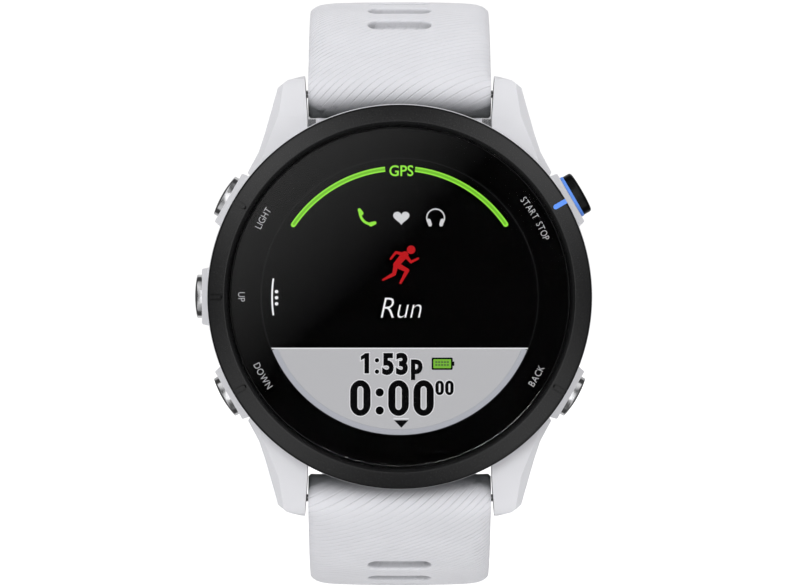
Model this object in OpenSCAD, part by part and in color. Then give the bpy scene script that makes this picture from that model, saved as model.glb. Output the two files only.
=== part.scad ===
// GPS running watch with an unbuckled silicone strap, in millimetres.
// +Z points to 12 o'clock, the display faces -Y and +X points to 3 o'clock.
// The origin is the centre of the rear sensor window's outer face. A height h is measured from
// there towards the display, so it lies at y = -h.

/* [Case] */
// Outer diameter of the bezel
bezel_d = 45.6; // [45.4:0.1:46]
// Thickness from the sensor window to the front of the bezel
case_t = 12.9; // [12.9:0.1:13.3]
// Diameter of the lit part of the display
display_d = 33; // [31:0.5:33.5]
// Clear width between the two lugs that hold one strap half
lug_gap = 22; // [21.8:0.1:22.2]
// Distance from the centre to the tip of a lug
lug_tip = 26.4; // [26.2:0.1:26.8]

/* [Buttons] */
// Angle of the four diagonal buttons from the horizontal
button_angle = 30; // [29:0.5:31]
// How far a button can be pressed
button_travel = 0.6; // [0.4:0.1:0.6]
// Length of a button cap along the case
cap_l = 5.2; // [4.8:0.1:5.3]
// Width of a button cap across the case's side
cap_w = 2.8; // [2.4:0.1:2.9]

/* [Strap] */
// Thickness of the strap
strap_t = 2.4; // [2.2:0.1:2.5]
// Outer radius of the strap's curved stretch
strap_r = 30; // [29.8:0.1:30.3]
// Width of the strap at the buckle and at the tip
strap_end_w = 20; // [18:0.5:20]
// Straight length of the half that carries the buckle
buckle_half_l = 40.5; // [40:0.5:46]
// Straight length of the half with the holes
hole_half_l = 78.5; // [74:0.5:84]
// Distance between neighbouring holes or recesses
hole_pitch = 5; // [4.8:0.1:5.2]
// Length of a hole across the strap
hole_l = 7.6; // [6:0.2:8]
// Width of a hole along the strap
hole_w = 2.5; // [2:0.1:2.8]

/* [Hidden] */
$fn = 72;
cut = 1; // how far a cutter runs past the face it opens

// radii of the round parts, worked inwards from the bezel
bezel_r = bezel_d / 2;
case_r = bezel_r + 0.15;
lens_r = bezel_r - 2.6;
ledge_r = bezel_r - 3.8;
cavity_r = bezel_r - 4.2;
cover_r = bezel_r - 1;
display_r = display_d / 2;
gasket_r = cavity_r + 0.7;
rear_screw_r = bezel_r - 2.4;

// heights of the layers, from the wrist side to the front
cover_base = 0.8;
cover_top = 3;
window_r = 8;
window_flange_r = 8.8;
window_flange_h = [1.1, 1.5];
sensor_board_h = [2, 2.5];
battery_h = [3.5, case_t - 5.9];
board_h = [case_t - 5.7, case_t - 5];
frame_h = [case_t - 3.95, case_t - 2.97];
display_h = [case_t - 2.95, case_t - 1.93];
mask_h = [case_t - 1.87, case_t - 1.75];
lens_h = [case_t - 1.75, case_t - 0.35];
bezel_h = case_t - 2.7;
ledge_h = case_t - 1.9;

// side buttons: distances from the watch's centre line along each button's own axis
button_h = 6.5;
guard_out = bezel_r + 0.8;
pocket_floor = bezel_r - 0.9;
well_floor = bezel_r - 2.2;
cap_base = bezel_r - 0.1;
cap_out = bezel_r + 1.65;
start_cap_out = bezel_r + 2.4;
accent_r = [bezel_r + 0.84, bezel_r + 1.2];
shaft_end = cavity_r - 0.6;
board_r = shaft_end - button_travel - 0.2;
clip_at = [cavity_r - 0.35, cavity_r - 0.1];
seal_at = [cavity_r + 0.7, cavity_r + 1.2];
shaft_r = 0.95;
shaft_bore_r = 1;
clip_groove_r = 0.7;
pill_gap = 0.1;
light_at = 180 - button_angle;
up_at = 180;
down_at = 180 + button_angle;
start_at = button_angle;
back_at = -button_angle;
button_places = [light_at, up_at, down_at, start_at, back_at];

// strap: the bar that each half turns on, the arc that it follows and the straight stretch after it
pocket_z = 20.9;
pocket_h = case_t - 3.6;
bar_z = 24.2;
bar_h = 5.6;
bar_r = 0.9;
bar_bore_r = 0.95;
bar_half_l = 10.4;
pin_r = 0.45;
pin_hole_r = 0.5;
pin_reach = lug_gap / 2 + 1;
barrel_r = 2.9;
barrel_inset = 0.15; // how much narrower the round ends are than the strap's flat sides
arc_y = 15;
arc_z = 6.1;
arc_end = -18;
bar_angle = atan2(arc_y + bar_h, bar_z - arc_z);
strap_w = lug_gap - 0.4;
mid_r = strap_r - strap_t / 2;
taper_l = 33;
first_hole_angle = 27;
hole_step = hole_pitch / strap_r * 180 / PI;
recess_depth = 0.8;
through_holes = 12;

// buckle and keepers: distances along the straight stretch
bar2_r = 0.75;
end_barrel_r = 1.9;
tongue_slot_w = 3.2;
buckle_arm_t = 2.1;
buckle_reach = 12;
keeper_l = 5;
keeper_wall = 0.8;
keeper_room = strap_t + 0.5;
free_keeper_at = 24;
fixed_keeper_at = 33.5;

// ---- helpers ----

// A solid turned about the centre line, from points [radius, height]
module turned(points) {
    rotate([90, 0, 0]) rotate_extrude() polygon(points);
}

// A flat ring or disc between two radii and two heights
module disc(radii, heights) {
    turned([
        [radii[0], heights[0]], [radii[1], heights[0]],
        [radii[1], heights[1]], [radii[0], heights[1]]
    ]);
}

// A plan outline of points [x, z], or 2D children, raised between two heights
module plate(heights) {
    translate([0, -heights[0], 0]) rotate([90, 0, 0])
        linear_extrude(heights[1] - heights[0]) children();
}

// A round post along the watch's depth at plan position x, z
module post(x, z, heights, r) {
    translate([x, -heights[0], z]) rotate([90, 0, 0])
        cylinder(h = heights[1] - heights[0], r = r);
}

// A block centred on plan position x, z between two heights
module block(x, z, size, heights) {
    translate([x - size[0] / 2, -heights[1], z - size[1] / 2])
        cube([size[0], heights[1] - heights[0], size[1]]);
}

// A side outline of points [z, height], extruded across the watch between two x values
module side_plate(x0, x1, points) {
    translate([x0, 0, 0]) rotate([90, 0, 90])
        linear_extrude(x1 - x0) polygon([for (p = points) [-p[1], p[0]]]);
}

// A frame whose X axis runs out from the centre along a button's axis
module button_frame(angle) {
    translate([0, -button_h, 0]) rotate([0, -angle, 0]) children();
}

// A round rod along X between two distances
module rod(x0, x1, r) {
    translate([x0, 0, 0]) rotate([0, 90, 0]) cylinder(h = x1 - x0, r = r);
}

// A bar with half-round ends: l long across, w wide, between two distances along X
module pill(x0, x1, l, w) {
    for (end = [-1, 1]) translate([0, 0, end * (l - w) / 2]) rod(x0, x1, w / 2);
    translate([x0, -w / 2, -(l - w) / 2]) cube([x1 - x0, w, l - w]);
}

// The same shape lying flat: l along X, w along Y, between two levels along Z
module flat_pill(z0, z1, l, w) {
    for (end = [-1, 1]) translate([end * (l - w) / 2, 0, z0]) cylinder(h = z1 - z0, r = w / 2);
    translate([-(l - w) / 2, -w / 2, z0]) cube([l - w, w, z1 - z0]);
}

// A coil spring along X: coil radius r, wire radius w
module coil(x0, x1, r, w, turns) {
    sides = 6;
    steps = turns * 12;
    function ring_point(i, j) = let (t = i * 30, u = j * 360 / sides) [
        x0 + w + (x1 - x0 - 2 * w) * i / steps + w * sin(u),
        (r + w * cos(u)) * cos(t),
        (r + w * cos(u)) * sin(t)
    ];
    walls = [
        for (i = [0 : steps - 1], j = [0 : sides - 1]) [
            i * sides + j, (i + 1) * sides + j,
            (i + 1) * sides + (j + 1) % sides, i * sides + (j + 1) % sides
        ]
    ];
    polyhedron(
        points = [for (i = [0 : steps], j = [0 : sides - 1]) ring_point(i, j)],
        faces = concat(
            walls,
            [[for (j = [0 : sides - 1]) j]],
            [[for (j = [sides - 1 : -1 : 0]) steps * sides + j]]
        )
    );
}

// ---- case ----

case_profile = [
    [0, cover_top], [case_r - 0.95, cover_top], [case_r - 0.25, cover_top + 1.2],
    [case_r, cover_top + 3.5], [case_r, bezel_h - 0.4], [case_r - 0.2, bezel_h], [0, bezel_h]
];

// One lug, in the corner towards +X and +Z
module lug() {
    inner = lug_gap / 2;
    outline = [
        [inner, lug_tip - 9], [inner, pocket_z + 0.5], [inner + 0.35, lug_tip],
        [inner + 2.4, lug_tip - 0.58], [inner + 3.54, lug_tip - 1.5], [inner + 5.07, lug_tip - 7],
        [inner + 5.8, lug_tip - 9.2], [inner + 7.1, lug_tip - 11.6], [inner + 6, lug_tip - 13.4]
    ];
    side = [
        [12, bezel_h - 0.2], [lug_tip - 4.9, bezel_h - 0.8], [lug_tip - 1.2, bezel_h - 1.8],
        [lug_tip - 0.4, bezel_h - 2.5], [lug_tip - 0.1, bezel_h - 3.6], [lug_tip, bezel_h - 5.2],
        [lug_tip - 0.2, 3.8], [lug_tip - 1.2, 2.8], [lug_tip - 3, 2.3], [lug_tip - 4.2, 2.7],
        [lug_tip - 4.5, cover_top], [12, cover_top]
    ];
    edge_turn = 15.8;
    facet_w = 0.95;
    difference() {
        intersection() {
            plate([0, case_t]) polygon(outline);
            side_plate(0, bezel_r, side);
        }
        // the facet along the outer front edge
        translate([inner + 4.4 - facet_w, -(bezel_h - 0.8), lug_tip - 4.9])
            rotate([0, -edge_turn, 0]) rotate([-9, 0, 0]) rotate([0, 0, -48])
            translate([0, -5, -8]) cube([5, 10, 16]);
    }
}

// The raised guard around one button, in the button's own frame
module guard() {
    half_l = 3.2;
    intersection() {
        translate([0, button_h, 0]) plate([0, case_t]) polygon([
            [20, -half_l - 0.9], [bezel_r, -half_l - 0.25], [guard_out - 0.1, -half_l - 0.1],
            [guard_out, -half_l], [guard_out, half_l], [guard_out - 0.1, half_l + 0.1],
            [bezel_r, half_l + 0.25], [20, half_l + 0.9]
        ]);
        translate([0, 0, -half_l - cut]) linear_extrude(2 * (half_l + cut)) polygon([
            [20, 3.1], [bezel_r + 0.15, 2.9], [guard_out, 1.9], [guard_out, -1.9],
            [bezel_r + 0.1, -2.9], [20, -3.3]
        ]);
    }
}

// What one button needs removed from the wall: bore, seal gland, spring well and cap pocket
module button_cut() {
    rod(cavity_r - cut, pocket_floor + cut, shaft_bore_r);
    rod(seal_at[0], seal_at[1], 1.42);
    rod(well_floor, pocket_floor + cut, 1.3);
    pill(pocket_floor, guard_out + cut, cap_l + 2 * pill_gap, cap_w + 2 * pill_gap);
}

module case_body() {
    color("whitesmoke")
    difference() {
        union() {
            turned(case_profile);
            for (side = [0, 1], end = [0, 1]) mirror([side, 0, 0]) mirror([0, 0, end]) lug();
            for (angle = button_places) button_frame(angle) guard();
        }
        disc([0, cavity_r], [0, case_t]);
        disc([gasket_r - 0.3, gasket_r + 0.3], [cover_top - cut, cover_top + 0.6]);
        disc([lens_r - 0.9, bezel_r - 1.3], [bezel_h - 0.7, bezel_h + cut]);
        for (angle = button_places) button_frame(angle) button_cut();
        for (end = [-1, 1]) block(0, end * (pocket_z + 4), [lug_gap, 8], [0, pocket_h]);
        for (end = [-1, 1]) translate([0, -bar_h, end * bar_z])
            rod(-pin_reach - 0.2, pin_reach + 0.2, pin_hole_r);
        rear_screw_places() post(0, 0, [cover_top - cut, 6.2], 0.6);
    }
}

// ---- front ----

module bezel_blank() {
    turned([
        [ledge_r, bezel_h], [bezel_r, bezel_h], [bezel_r, case_t - 0.55],
        [bezel_r - 0.2, case_t - 0.4], [bezel_r - 1.95, case_t], [bezel_r - 2.25, case_t - 0.15],
        [bezel_r - 2.5, case_t - 0.5], [bezel_r - 2.5, ledge_h], [ledge_r, ledge_h]
    ]);
}

// A small slot sunk into the bezel's sloping face, pointing at a button
module bezel_slot(angle, depth) {
    slope = atan2(0.4, 1.75);
    slot_l = 3;
    slot_w = 0.63;
    rotate([0, -angle, 0]) translate([bezel_r - 1.5, -(case_t - 0.1), 0])
        rotate([0, 0, slope]) rotate([0, 0, 90])
        translate([depth, 0, 0]) rotate([0, 180, 0])
        translate([0, -slot_l + slot_w / 2, 0]) {
            translate([0, 0, -slot_w / 2]) cube([1, slot_l - slot_w / 2, slot_w]);
            translate([0, slot_l - slot_w / 2, 0]) rotate([0, 90, 0])
                cylinder(h = 1, r = slot_w / 2);
        }
}

module bezel_ring() {
    color("dimgray")
    difference() {
        bezel_blank();
        bezel_slot(start_at, 0.25);
        for (angle = [light_at, up_at, down_at, back_at]) bezel_slot(angle, 0.12);
    }
}

module bezel_start_mark() {
    color("cornflowerblue")
    intersection() {
        bezel_blank();
        bezel_slot(start_at, 0.25);
    }
}

module lens() {
    color("gray", 0.3)
    turned([
        [0, lens_h[0]], [lens_r, lens_h[0]], [lens_r, lens_h[1] - 0.25],
        [lens_r - 0.25, lens_h[1]], [0, lens_h[1]]
    ]);
}

module lens_mask() {
    color("black") disc([display_r + 0.05, ledge_r - 0.1], mask_h);
}

module lens_gasket() {
    color("dimgray") disc([ledge_r + 0.1, lens_r - 0.1], [ledge_h, lens_h[0]]);
}

module display_panel() {
    color("darkslategray") disc([0, display_r + 1.1], display_h);
}

module backlight_frame() {
    color("white")
    difference() {
        disc([0, cavity_r - 0.3], frame_h);
        disc([0, display_r], [frame_h[0] + 0.5, frame_h[1] + cut]);
    }
}

module antenna_ring() {
    color("goldenrod") disc([lens_r - 0.85, bezel_r - 1.35], [bezel_h - 0.65, bezel_h]);
}

// ---- inside ----

module main_board() {
    color("darkgreen")
    difference() {
        disc([0, board_r], board_h);
        block(0, -board_r, [9, 3], [board_h[0] - cut, board_h[1] + cut]);
    }
}

module shield_cans() {
    color("silver") {
        block(-7.5, 3, [11, 13], [board_h[1], frame_h[0] - 0.1]);
        block(6, 7, [12, 8], [board_h[1], frame_h[0] - 0.1]);
        block(7, -5.5, [9, 9], [board_h[1], frame_h[0] - 0.3]);
    }
}

module battery() {
    color("slategray") block(0, 0, [22, 22], battery_h);
}

module battery_tray() {
    color("black")
    difference() {
        block(0, 0, [23.6, 23.6], [3.1, battery_h[1] - 0.6]);
        block(0, 0, [22.2, 22.2], [battery_h[0] - 0.02, case_t]);
        block(0, 0, [14, 14], [0, case_t]);
    }
}

module vibration_motor() {
    motor_x = 15;
    color("silver") {
        post(motor_x, 0, [3.2, 5.7], 3.1);
        post(motor_x, 0, [5.7, 5.9], 2.4);
    }
}

module piezo_buzzer() {
    buzzer_z = 15.1;
    color("goldenrod") {
        post(0, buzzer_z, [3.2, 3.4], 3.2);
        post(0, buzzer_z, [3.4, 3.6], 2.2);
    }
}

module button_switches() {
    plunger_tip = shaft_end - button_travel - 0.02;
    color("black")
    for (angle = button_places) button_frame(angle) {
        translate([cavity_r - 3.2, -(board_h[0] - button_h), -1.9])
            cube([1.6, board_h[0] - button_h + 1.1, 3.8]);
        rod(cavity_r - 1.6, plunger_tip, 0.6);
    }
}

module sensor_ribbon() {
    ribbon_x = -6.9;
    ribbon_t = 0.15;
    color("orange") {
        block(ribbon_x, -10.2, [4, 5.4], [sensor_board_h[1], sensor_board_h[1] + ribbon_t]);
        block(ribbon_x, -12.9, [4, ribbon_t], [sensor_board_h[1], board_h[0]]);
    }
}

module sensor_board() {
    color("darkgreen") disc([0, window_flange_r + 0.8], sensor_board_h);
}

// Two rows of lamps and the light sensor between them, on the wrist side of the sensor board
module sensor_leds() {
    led_h = [sensor_board_h[0] - 0.45, sensor_board_h[0]];
    color("limegreen") {
        for (side = [-1, 1], row = [-1, 1]) block(side * 4.2, row * 1.4, [1.6, 1.6], led_h);
        block(0, 0, [3, 3], led_h);
    }
}

// ---- wrist side ----

module sensor_window() {
    color("black")
    turned([
        [0, 0], [window_r - 0.8, 0], [window_r, 0.5], [window_r, window_flange_h[0]],
        [window_flange_r, window_flange_h[0]], [window_flange_r, window_flange_h[1]],
        [0, window_flange_h[1]]
    ]);
}

module rear_screw_places() {
    for (angle = [52, 128, 232, 308])
        translate([rear_screw_r * cos(angle), 0, rear_screw_r * sin(angle)]) children();
}

port_z = -14.2;
port_size = [9.4, 4.4];
vent_at = [-9, 13.5];

module rear_cover() {
    color("gainsboro")
    difference() {
        turned([
            [window_r + 0.05, cover_base], [window_r + 1.5, cover_base], [15, cover_base + 0.25],
            [cover_r - 1, 1.9], [cover_r, 2.6], [cover_r, cover_top], [cavity_r - 0.8, cover_top],
            [cavity_r - 0.8, 2], [window_flange_r + 0.05, 2],
            [window_flange_r + 0.05, window_flange_h[0]], [window_r + 0.05, window_flange_h[0]]
        ]);
        for (end = [-1, 1]) block(0, end * (pocket_z + 2), [lug_gap, 4], [0, case_t]);
        block(0, port_z, port_size, [0, case_t]);
        post(vent_at[0], vent_at[1], [0, cover_top], 0.4);
        post(vent_at[0], vent_at[1], [1.7, cover_top], 1);
        rear_screw_places() {
            post(0, 0, [0, cover_top + cut], 0.75);
            post(0, 0, [0, 2.5], 1.1);
        }
    }
}

module rear_gasket() {
    color("dimgray")
    rotate([90, 0, 0]) rotate_extrude()
        translate([gasket_r, cover_top + 0.28]) circle(r = 0.27, $fn = 32);
}

module rear_screws() {
    color("silver")
    rear_screw_places()
        difference() {
            union() {
                post(0, 0, [1.85, 2.5], 1);
                post(0, 0, [2.5, 5.8], 0.6);
            }
            translate([0, -1.5, 0]) rotate([90, 0, 0]) cylinder(h = 0.7, r = 0.45, $fn = 6);
        }
}

module charge_port() {
    color("black")
    difference() {
        block(0, port_z, [port_size[0] - 0.04, port_size[1] - 0.04], [1, 2.9]);
        translate([0, -0.5, port_z]) rotate([90, 0, 0]) flat_pill(0, 1.6, 8, 3);
        for (i = [-1.5 : 1.5]) post(i * 1.9, port_z, [0, case_t], 0.37);
    }
}

module charge_contacts() {
    color("gold")
    for (i = [-1.5 : 1.5]) {
        post(i * 1.9, port_z, [1.6, 3.3], 0.35);
        post(i * 1.9, port_z, [2.92, 3.3], 0.55);
    }
}

module pressure_vent() {
    color("lightgray") post(vent_at[0], vent_at[1], [1.72, 1.95], 0.95);
}

// ---- buttons ----

module button_seals() {
    color("black")
    for (angle = button_places) button_frame(angle)
        translate([(seal_at[0] + seal_at[1]) / 2, 0, 0]) rotate([0, 90, 0]) rotate_extrude()
            translate([1.19, 0]) circle(r = 0.2, $fn = 32);
}

module button_shaft() {
    rod(shaft_end, clip_at[0], shaft_r);
    rod(clip_at[0], clip_at[1], clip_groove_r);
    rod(clip_at[1], cap_base, shaft_r);
}

// A cap with a slightly crowned outer face
module cap(x0, x1) {
    crown_r = 14;
    intersection() {
        pill(x0, x1, cap_l, cap_w);
        translate([x1 - crown_r, 0, 0]) rotate([90, 0, 0])
            cylinder(h = 2 * cap_w, r = crown_r, center = true, $fn = 180);
    }
}

module side_button(angle) {
    color("silver")
    button_frame(angle) {
        button_shaft();
        cap(cap_base, cap_out);
    }
}

module start_button() {
    color([0.12, 0.12, 0.13])
    button_frame(start_at) {
        button_shaft();
        pill(cap_base, accent_r[0], cap_l, cap_w);
        pill(accent_r[0], accent_r[1], cap_l - 0.8, cap_w - 0.8);
        cap(accent_r[1], start_cap_out);
    }
}

module start_accent_ring() {
    color("cornflowerblue")
    button_frame(start_at)
    difference() {
        pill(accent_r[0], accent_r[1], cap_l, cap_w);
        pill(accent_r[0] - cut, accent_r[1] + cut, cap_l - 0.8, cap_w - 0.8);
    }
}

module button_spring(angle) {
    color("silver")
    button_frame(angle) coil(well_floor + 0.02, cap_base - 0.02, 1.12, 0.09, 4);
}

// A retaining clip in the shaft's groove, open on one side
module button_clip(angle) {
    color("gray")
    button_frame(angle)
    difference() {
        rod(clip_at[0] + 0.02, clip_at[1] - 0.02, 1.6);
        rod(clip_at[0] - cut, clip_at[1] + cut, clip_groove_r + 0.02);
        translate([clip_at[0] - cut, -0.6, -3]) cube([3, 1.2, 3]);
    }
}

// ---- strap ----

// The frame of the strap's bar: X along the bar, Z out from the strap's arc
module bar_frame() {
    translate([0, -bar_h, bar_z]) rotate([bar_angle, 0, 0]) children();
}

// The frame on the arc at an angle from straight up: Z out, Y along the strap away from the watch
module arc_frame(angle) {
    translate([0, arc_y, arc_z]) rotate([angle, 0, 0]) children();
}

// The frame of the straight stretch: Y along the strap away from the watch, Z outwards
module straight_frame() {
    arc_frame(arc_end) translate([0, 0, mid_r]) children();
}

// The curved stretch with its softly crowned outer face
module strap_arc() {
    in_r = strap_r - strap_t;
    half = strap_w / 2;
    translate([0, arc_y, arc_z]) rotate([0, 90, 0])
        rotate_extrude(angle = bar_angle - arc_end, start = 180 + arc_end, $fn = 180)
        polygon([
            [in_r, -half + 0.4], [in_r + 0.4, -half], [strap_r - 1.1, -half],
            [strap_r - 0.45, -half + 0.7], [strap_r - 0.12, -half + 2.6], [strap_r, -half + 5],
            [strap_r, half - 5], [strap_r - 0.12, half - 2.6], [strap_r - 0.45, half - 0.7],
            [strap_r - 1.1, half], [in_r + 0.4, half], [in_r, half - 0.4]
        ]);
}

// The straight stretch up to length l, with a rounded end of corner radius r
module strap_straight(l, r) {
    half = strap_w / 2;
    end_half = strap_end_w / 2;
    corner = [for (a = [0 : 15 : 90]) [end_half - r + r * cos(a), l - r + r * sin(a)]];
    right = concat([[half, 0], [end_half, taper_l]], corner);
    left = [for (i = [len(right) - 1 : -1 : 0]) [-right[i][0], right[i][1]]];
    translate([0, 0, -strap_t / 2]) linear_extrude(strap_t) polygon(concat(right, left));
}

// The end that wraps the bar, with the slot for the lever's knob
module strap_head() {
    bar_frame() rod(-strap_w / 2 + barrel_inset, strap_w / 2 - barrel_inset, barrel_r);
}

module strap_head_cut() {
    bar_frame() {
        rod(-strap_w, strap_w, bar_bore_r);
        translate([5.9, -0.8, -barrel_r - cut]) cube([3.6, 1.6, barrel_r + cut]);
    }
}

// Blind oblong recesses in the outer face, from the first one near the watch
module recesses(count) {
    for (i = [0 : count - 1]) arc_frame(first_hole_angle - i * hole_step)
        flat_pill(strap_r - recess_depth, strap_r + cut, hole_l, hole_w);
}

module upper_strap() {
    color("gainsboro")
    difference() {
        union() {
            strap_head();
            strap_arc();
            straight_frame() {
                strap_straight(buckle_half_l, 0.5);
                translate([0, buckle_half_l, 0])
                    rod(-strap_end_w / 2 + barrel_inset, strap_end_w / 2 - barrel_inset, end_barrel_r);
            }
        }
        strap_head_cut();
        recesses(4);
        straight_frame() translate([0, buckle_half_l, 0]) {
            rod(-strap_w, strap_w, bar2_r + 0.05);
            translate([-tongue_slot_w / 2, -4, -3]) cube([tongue_slot_w, 8, 6]);
        }
    }
}

module lower_strap() {
    color("gainsboro")
    mirror([0, 0, 1])
    difference() {
        union() {
            strap_head();
            strap_arc();
            straight_frame() strap_straight(hole_half_l, 7);
        }
        strap_head_cut();
        recesses(5);
        straight_frame()
            for (i = [1 : through_holes])
                translate([0, i * hole_pitch, 0]) flat_pill(-strap_t, strap_t, hole_l, hole_w);
    }
}

// The outer tube of a spring bar, with its fixed pin at -X and a slot for the sliding lever
module bar_tube() {
    bore_from = -3;
    color("silver")
    bar_frame() {
        difference() {
            rod(-bar_half_l, bar_half_l, bar_r);
            rod(bore_from, bar_half_l + cut, 0.55);
            translate([6.2, -0.5, -2]) cube([3, 1, 2]);
        }
        rod(-pin_reach, -bar_half_l, pin_r);
    }
}

// The sliding pin at +X with its knob on the strap's inner side
module bar_lever() {
    knob_x = 8.5;
    color("silver")
    bar_frame() {
        rod(5, bar_half_l - 0.1, 0.5);
        rod(bar_half_l - 0.1, pin_reach, pin_r);
        translate([knob_x, 0, -3.4]) {
            cylinder(h = 3.4, r = 0.4);
            cylinder(h = 0.6, r = 0.6);
        }
    }
}

module bar_spring() {
    color("silver") bar_frame() coil(-2.98, 4.98, 0.4, 0.07, 10);
}

// ---- buckle and keepers ----

module buckle_place() {
    straight_frame() translate([0, buckle_half_l, 0]) children();
}

// An outline of points [along, out], extruded across the strap between two x values
module buckle_plate(x0, x1, points) {
    translate([x0, 0, 0]) rotate([90, 0, 90]) linear_extrude(x1 - x0) polygon(points);
}

module buckle_frame() {
    inner = strap_end_w / 2 + 0.25;
    outer = inner + buckle_arm_t;
    corner_r = 3;
    color("silver")
    buckle_place()
    intersection() {
        difference() {
            union() {
                for (side = [-outer, inner]) buckle_plate(side, side + buckle_arm_t, [
                    [-2, -1], [-1.2, -1.8], [1.5, -1.8], [4, -1.1], [buckle_reach - 2.8, 1.1],
                    [buckle_reach - 0.4, 1.6], [buckle_reach, 2.6], [buckle_reach - 0.6, 3.9],
                    [buckle_reach - 2.6, 4.2], [3, 2.3], [-1.2, 1.8], [-2, 1]
                ]);
                buckle_plate(-outer, outer, [
                    [buckle_reach - 2.8, 1.7], [buckle_reach - 0.4, 1.6], [buckle_reach, 2.6],
                    [buckle_reach - 0.6, 3.9], [buckle_reach - 2.6, 4.2]
                ]);
            }
            rod(-outer - cut, outer + cut, bar2_r);
        }
        translate([0, 0, -5]) {
            translate([-outer, -5, 0]) cube([2 * outer, buckle_reach + 5 - corner_r, 10]);
            translate([-outer + corner_r, -5, 0])
                cube([2 * (outer - corner_r), buckle_reach + 5, 10]);
            for (side = [-1, 1])
                translate([side * (outer - corner_r), buckle_reach - corner_r, 0])
                cylinder(h = 10, r = corner_r);
        }
    }
}

module buckle_tongue() {
    half_w = 1.2;
    color("silver")
    buckle_place()
    difference() {
        union() {
            rod(-half_w, half_w, 1.65);
            buckle_plate(-half_w, half_w, [
                [-1, 0.9], [0.2, 1.65], [buckle_reach - 3.8, 5.3], [buckle_reach - 1.4, 5.5],
                [buckle_reach + 0.4, 5.1], [buckle_reach + 0.4, 4.35], [buckle_reach - 3, 4.32],
                [1.5, 0.4], [0, 0]
            ]);
        }
        rod(-2 * half_w, 2 * half_w, bar2_r + 0.05);
    }
}

module buckle_bar() {
    half_l = strap_end_w / 2 + 0.25 + buckle_arm_t;
    color("gray") buckle_place() rod(-half_l, half_l, bar2_r);
}

// A loop round the strap with room for the other half above it
module keeper(at, half_inner, under) {
    straight_frame() translate([0, at - keeper_l / 2, 0])
    difference() {
        translate([-half_inner - keeper_wall, 0, -strap_t / 2 - under - keeper_wall])
            cube([
                2 * (half_inner + keeper_wall), keeper_l,
                strap_t + under + keeper_room + 2 * keeper_wall
            ]);
        translate([-half_inner, -cut, -strap_t / 2 - under])
            cube([2 * half_inner, keeper_l + 2 * cut, strap_t + under + keeper_room]);
    }
}

module keeper_fixed() {
    color("gainsboro") keeper(fixed_keeper_at, strap_end_w / 2 + 0.15, 0.05);
}

module keeper_free() {
    color("gainsboro") keeper(free_keeper_at, 10.5, 0.15);
}

case_body();
bezel_ring();
bezel_start_mark();
lens();
lens_mask();
lens_gasket();
display_panel();
backlight_frame();
antenna_ring();
main_board();
shield_cans();
battery();
battery_tray();
vibration_motor();
piezo_buzzer();
button_switches();
sensor_ribbon();
sensor_board();
sensor_leds();
sensor_window();
rear_cover();
rear_gasket();
rear_screws();
charge_port();
charge_contacts();
pressure_vent();
button_seals();
side_button(light_at);  // light_button
button_spring(light_at);  // light_spring
button_clip(light_at);  // light_clip
side_button(up_at);  // up_button
button_spring(up_at);  // up_spring
button_clip(up_at);  // up_clip
side_button(down_at);  // down_button
button_spring(down_at);  // down_spring
button_clip(down_at);  // down_clip
start_button();
button_spring(start_at);  // start_spring
button_clip(start_at);  // start_clip
start_accent_ring();
side_button(back_at);  // back_button
button_spring(back_at);  // back_spring
button_clip(back_at);  // back_clip
upper_strap();
bar_tube();  // upper_bar_tube
bar_lever();  // upper_bar_lever
bar_spring();  // upper_bar_spring
lower_strap();
mirror([0, 0, 1]) bar_tube();  // lower_bar_tube
mirror([0, 0, 1]) bar_lever();  // lower_bar_lever
mirror([0, 0, 1]) bar_spring();  // lower_bar_spring
buckle_frame();
buckle_tongue();
buckle_bar();
keeper_fixed();
keeper_free();
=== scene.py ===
from math import atan2, ceil, cos, exp, hypot, pi, radians, sin, sqrt

import bmesh
import bpy
import numpy as np
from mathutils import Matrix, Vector
from mathutils.geometry import delaunay_2d_cdt


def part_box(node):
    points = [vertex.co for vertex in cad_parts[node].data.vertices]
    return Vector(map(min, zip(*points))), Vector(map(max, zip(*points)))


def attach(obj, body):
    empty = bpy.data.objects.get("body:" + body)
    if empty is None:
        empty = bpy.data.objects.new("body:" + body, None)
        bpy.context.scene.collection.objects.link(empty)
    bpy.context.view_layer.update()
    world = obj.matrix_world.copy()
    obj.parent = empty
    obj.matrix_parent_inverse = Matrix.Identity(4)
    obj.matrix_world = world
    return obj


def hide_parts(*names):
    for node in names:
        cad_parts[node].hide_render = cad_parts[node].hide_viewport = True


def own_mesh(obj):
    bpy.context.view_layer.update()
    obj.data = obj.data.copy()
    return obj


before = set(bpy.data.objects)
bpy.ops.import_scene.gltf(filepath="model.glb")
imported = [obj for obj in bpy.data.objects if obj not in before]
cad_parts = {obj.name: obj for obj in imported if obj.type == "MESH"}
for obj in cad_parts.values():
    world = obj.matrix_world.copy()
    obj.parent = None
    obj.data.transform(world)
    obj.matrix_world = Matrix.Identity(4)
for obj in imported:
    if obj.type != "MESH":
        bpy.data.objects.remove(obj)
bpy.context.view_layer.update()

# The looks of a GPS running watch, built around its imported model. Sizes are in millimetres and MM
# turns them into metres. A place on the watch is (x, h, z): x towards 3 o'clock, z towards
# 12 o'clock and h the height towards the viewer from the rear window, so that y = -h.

MM = 0.001
scene = bpy.context.scene


def node_box(name):
    """A CAD node's lowest and highest corners in millimetres."""
    low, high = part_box(name)
    return low / MM, high / MM


# ---- driving sizes, read from the frame ----

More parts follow.
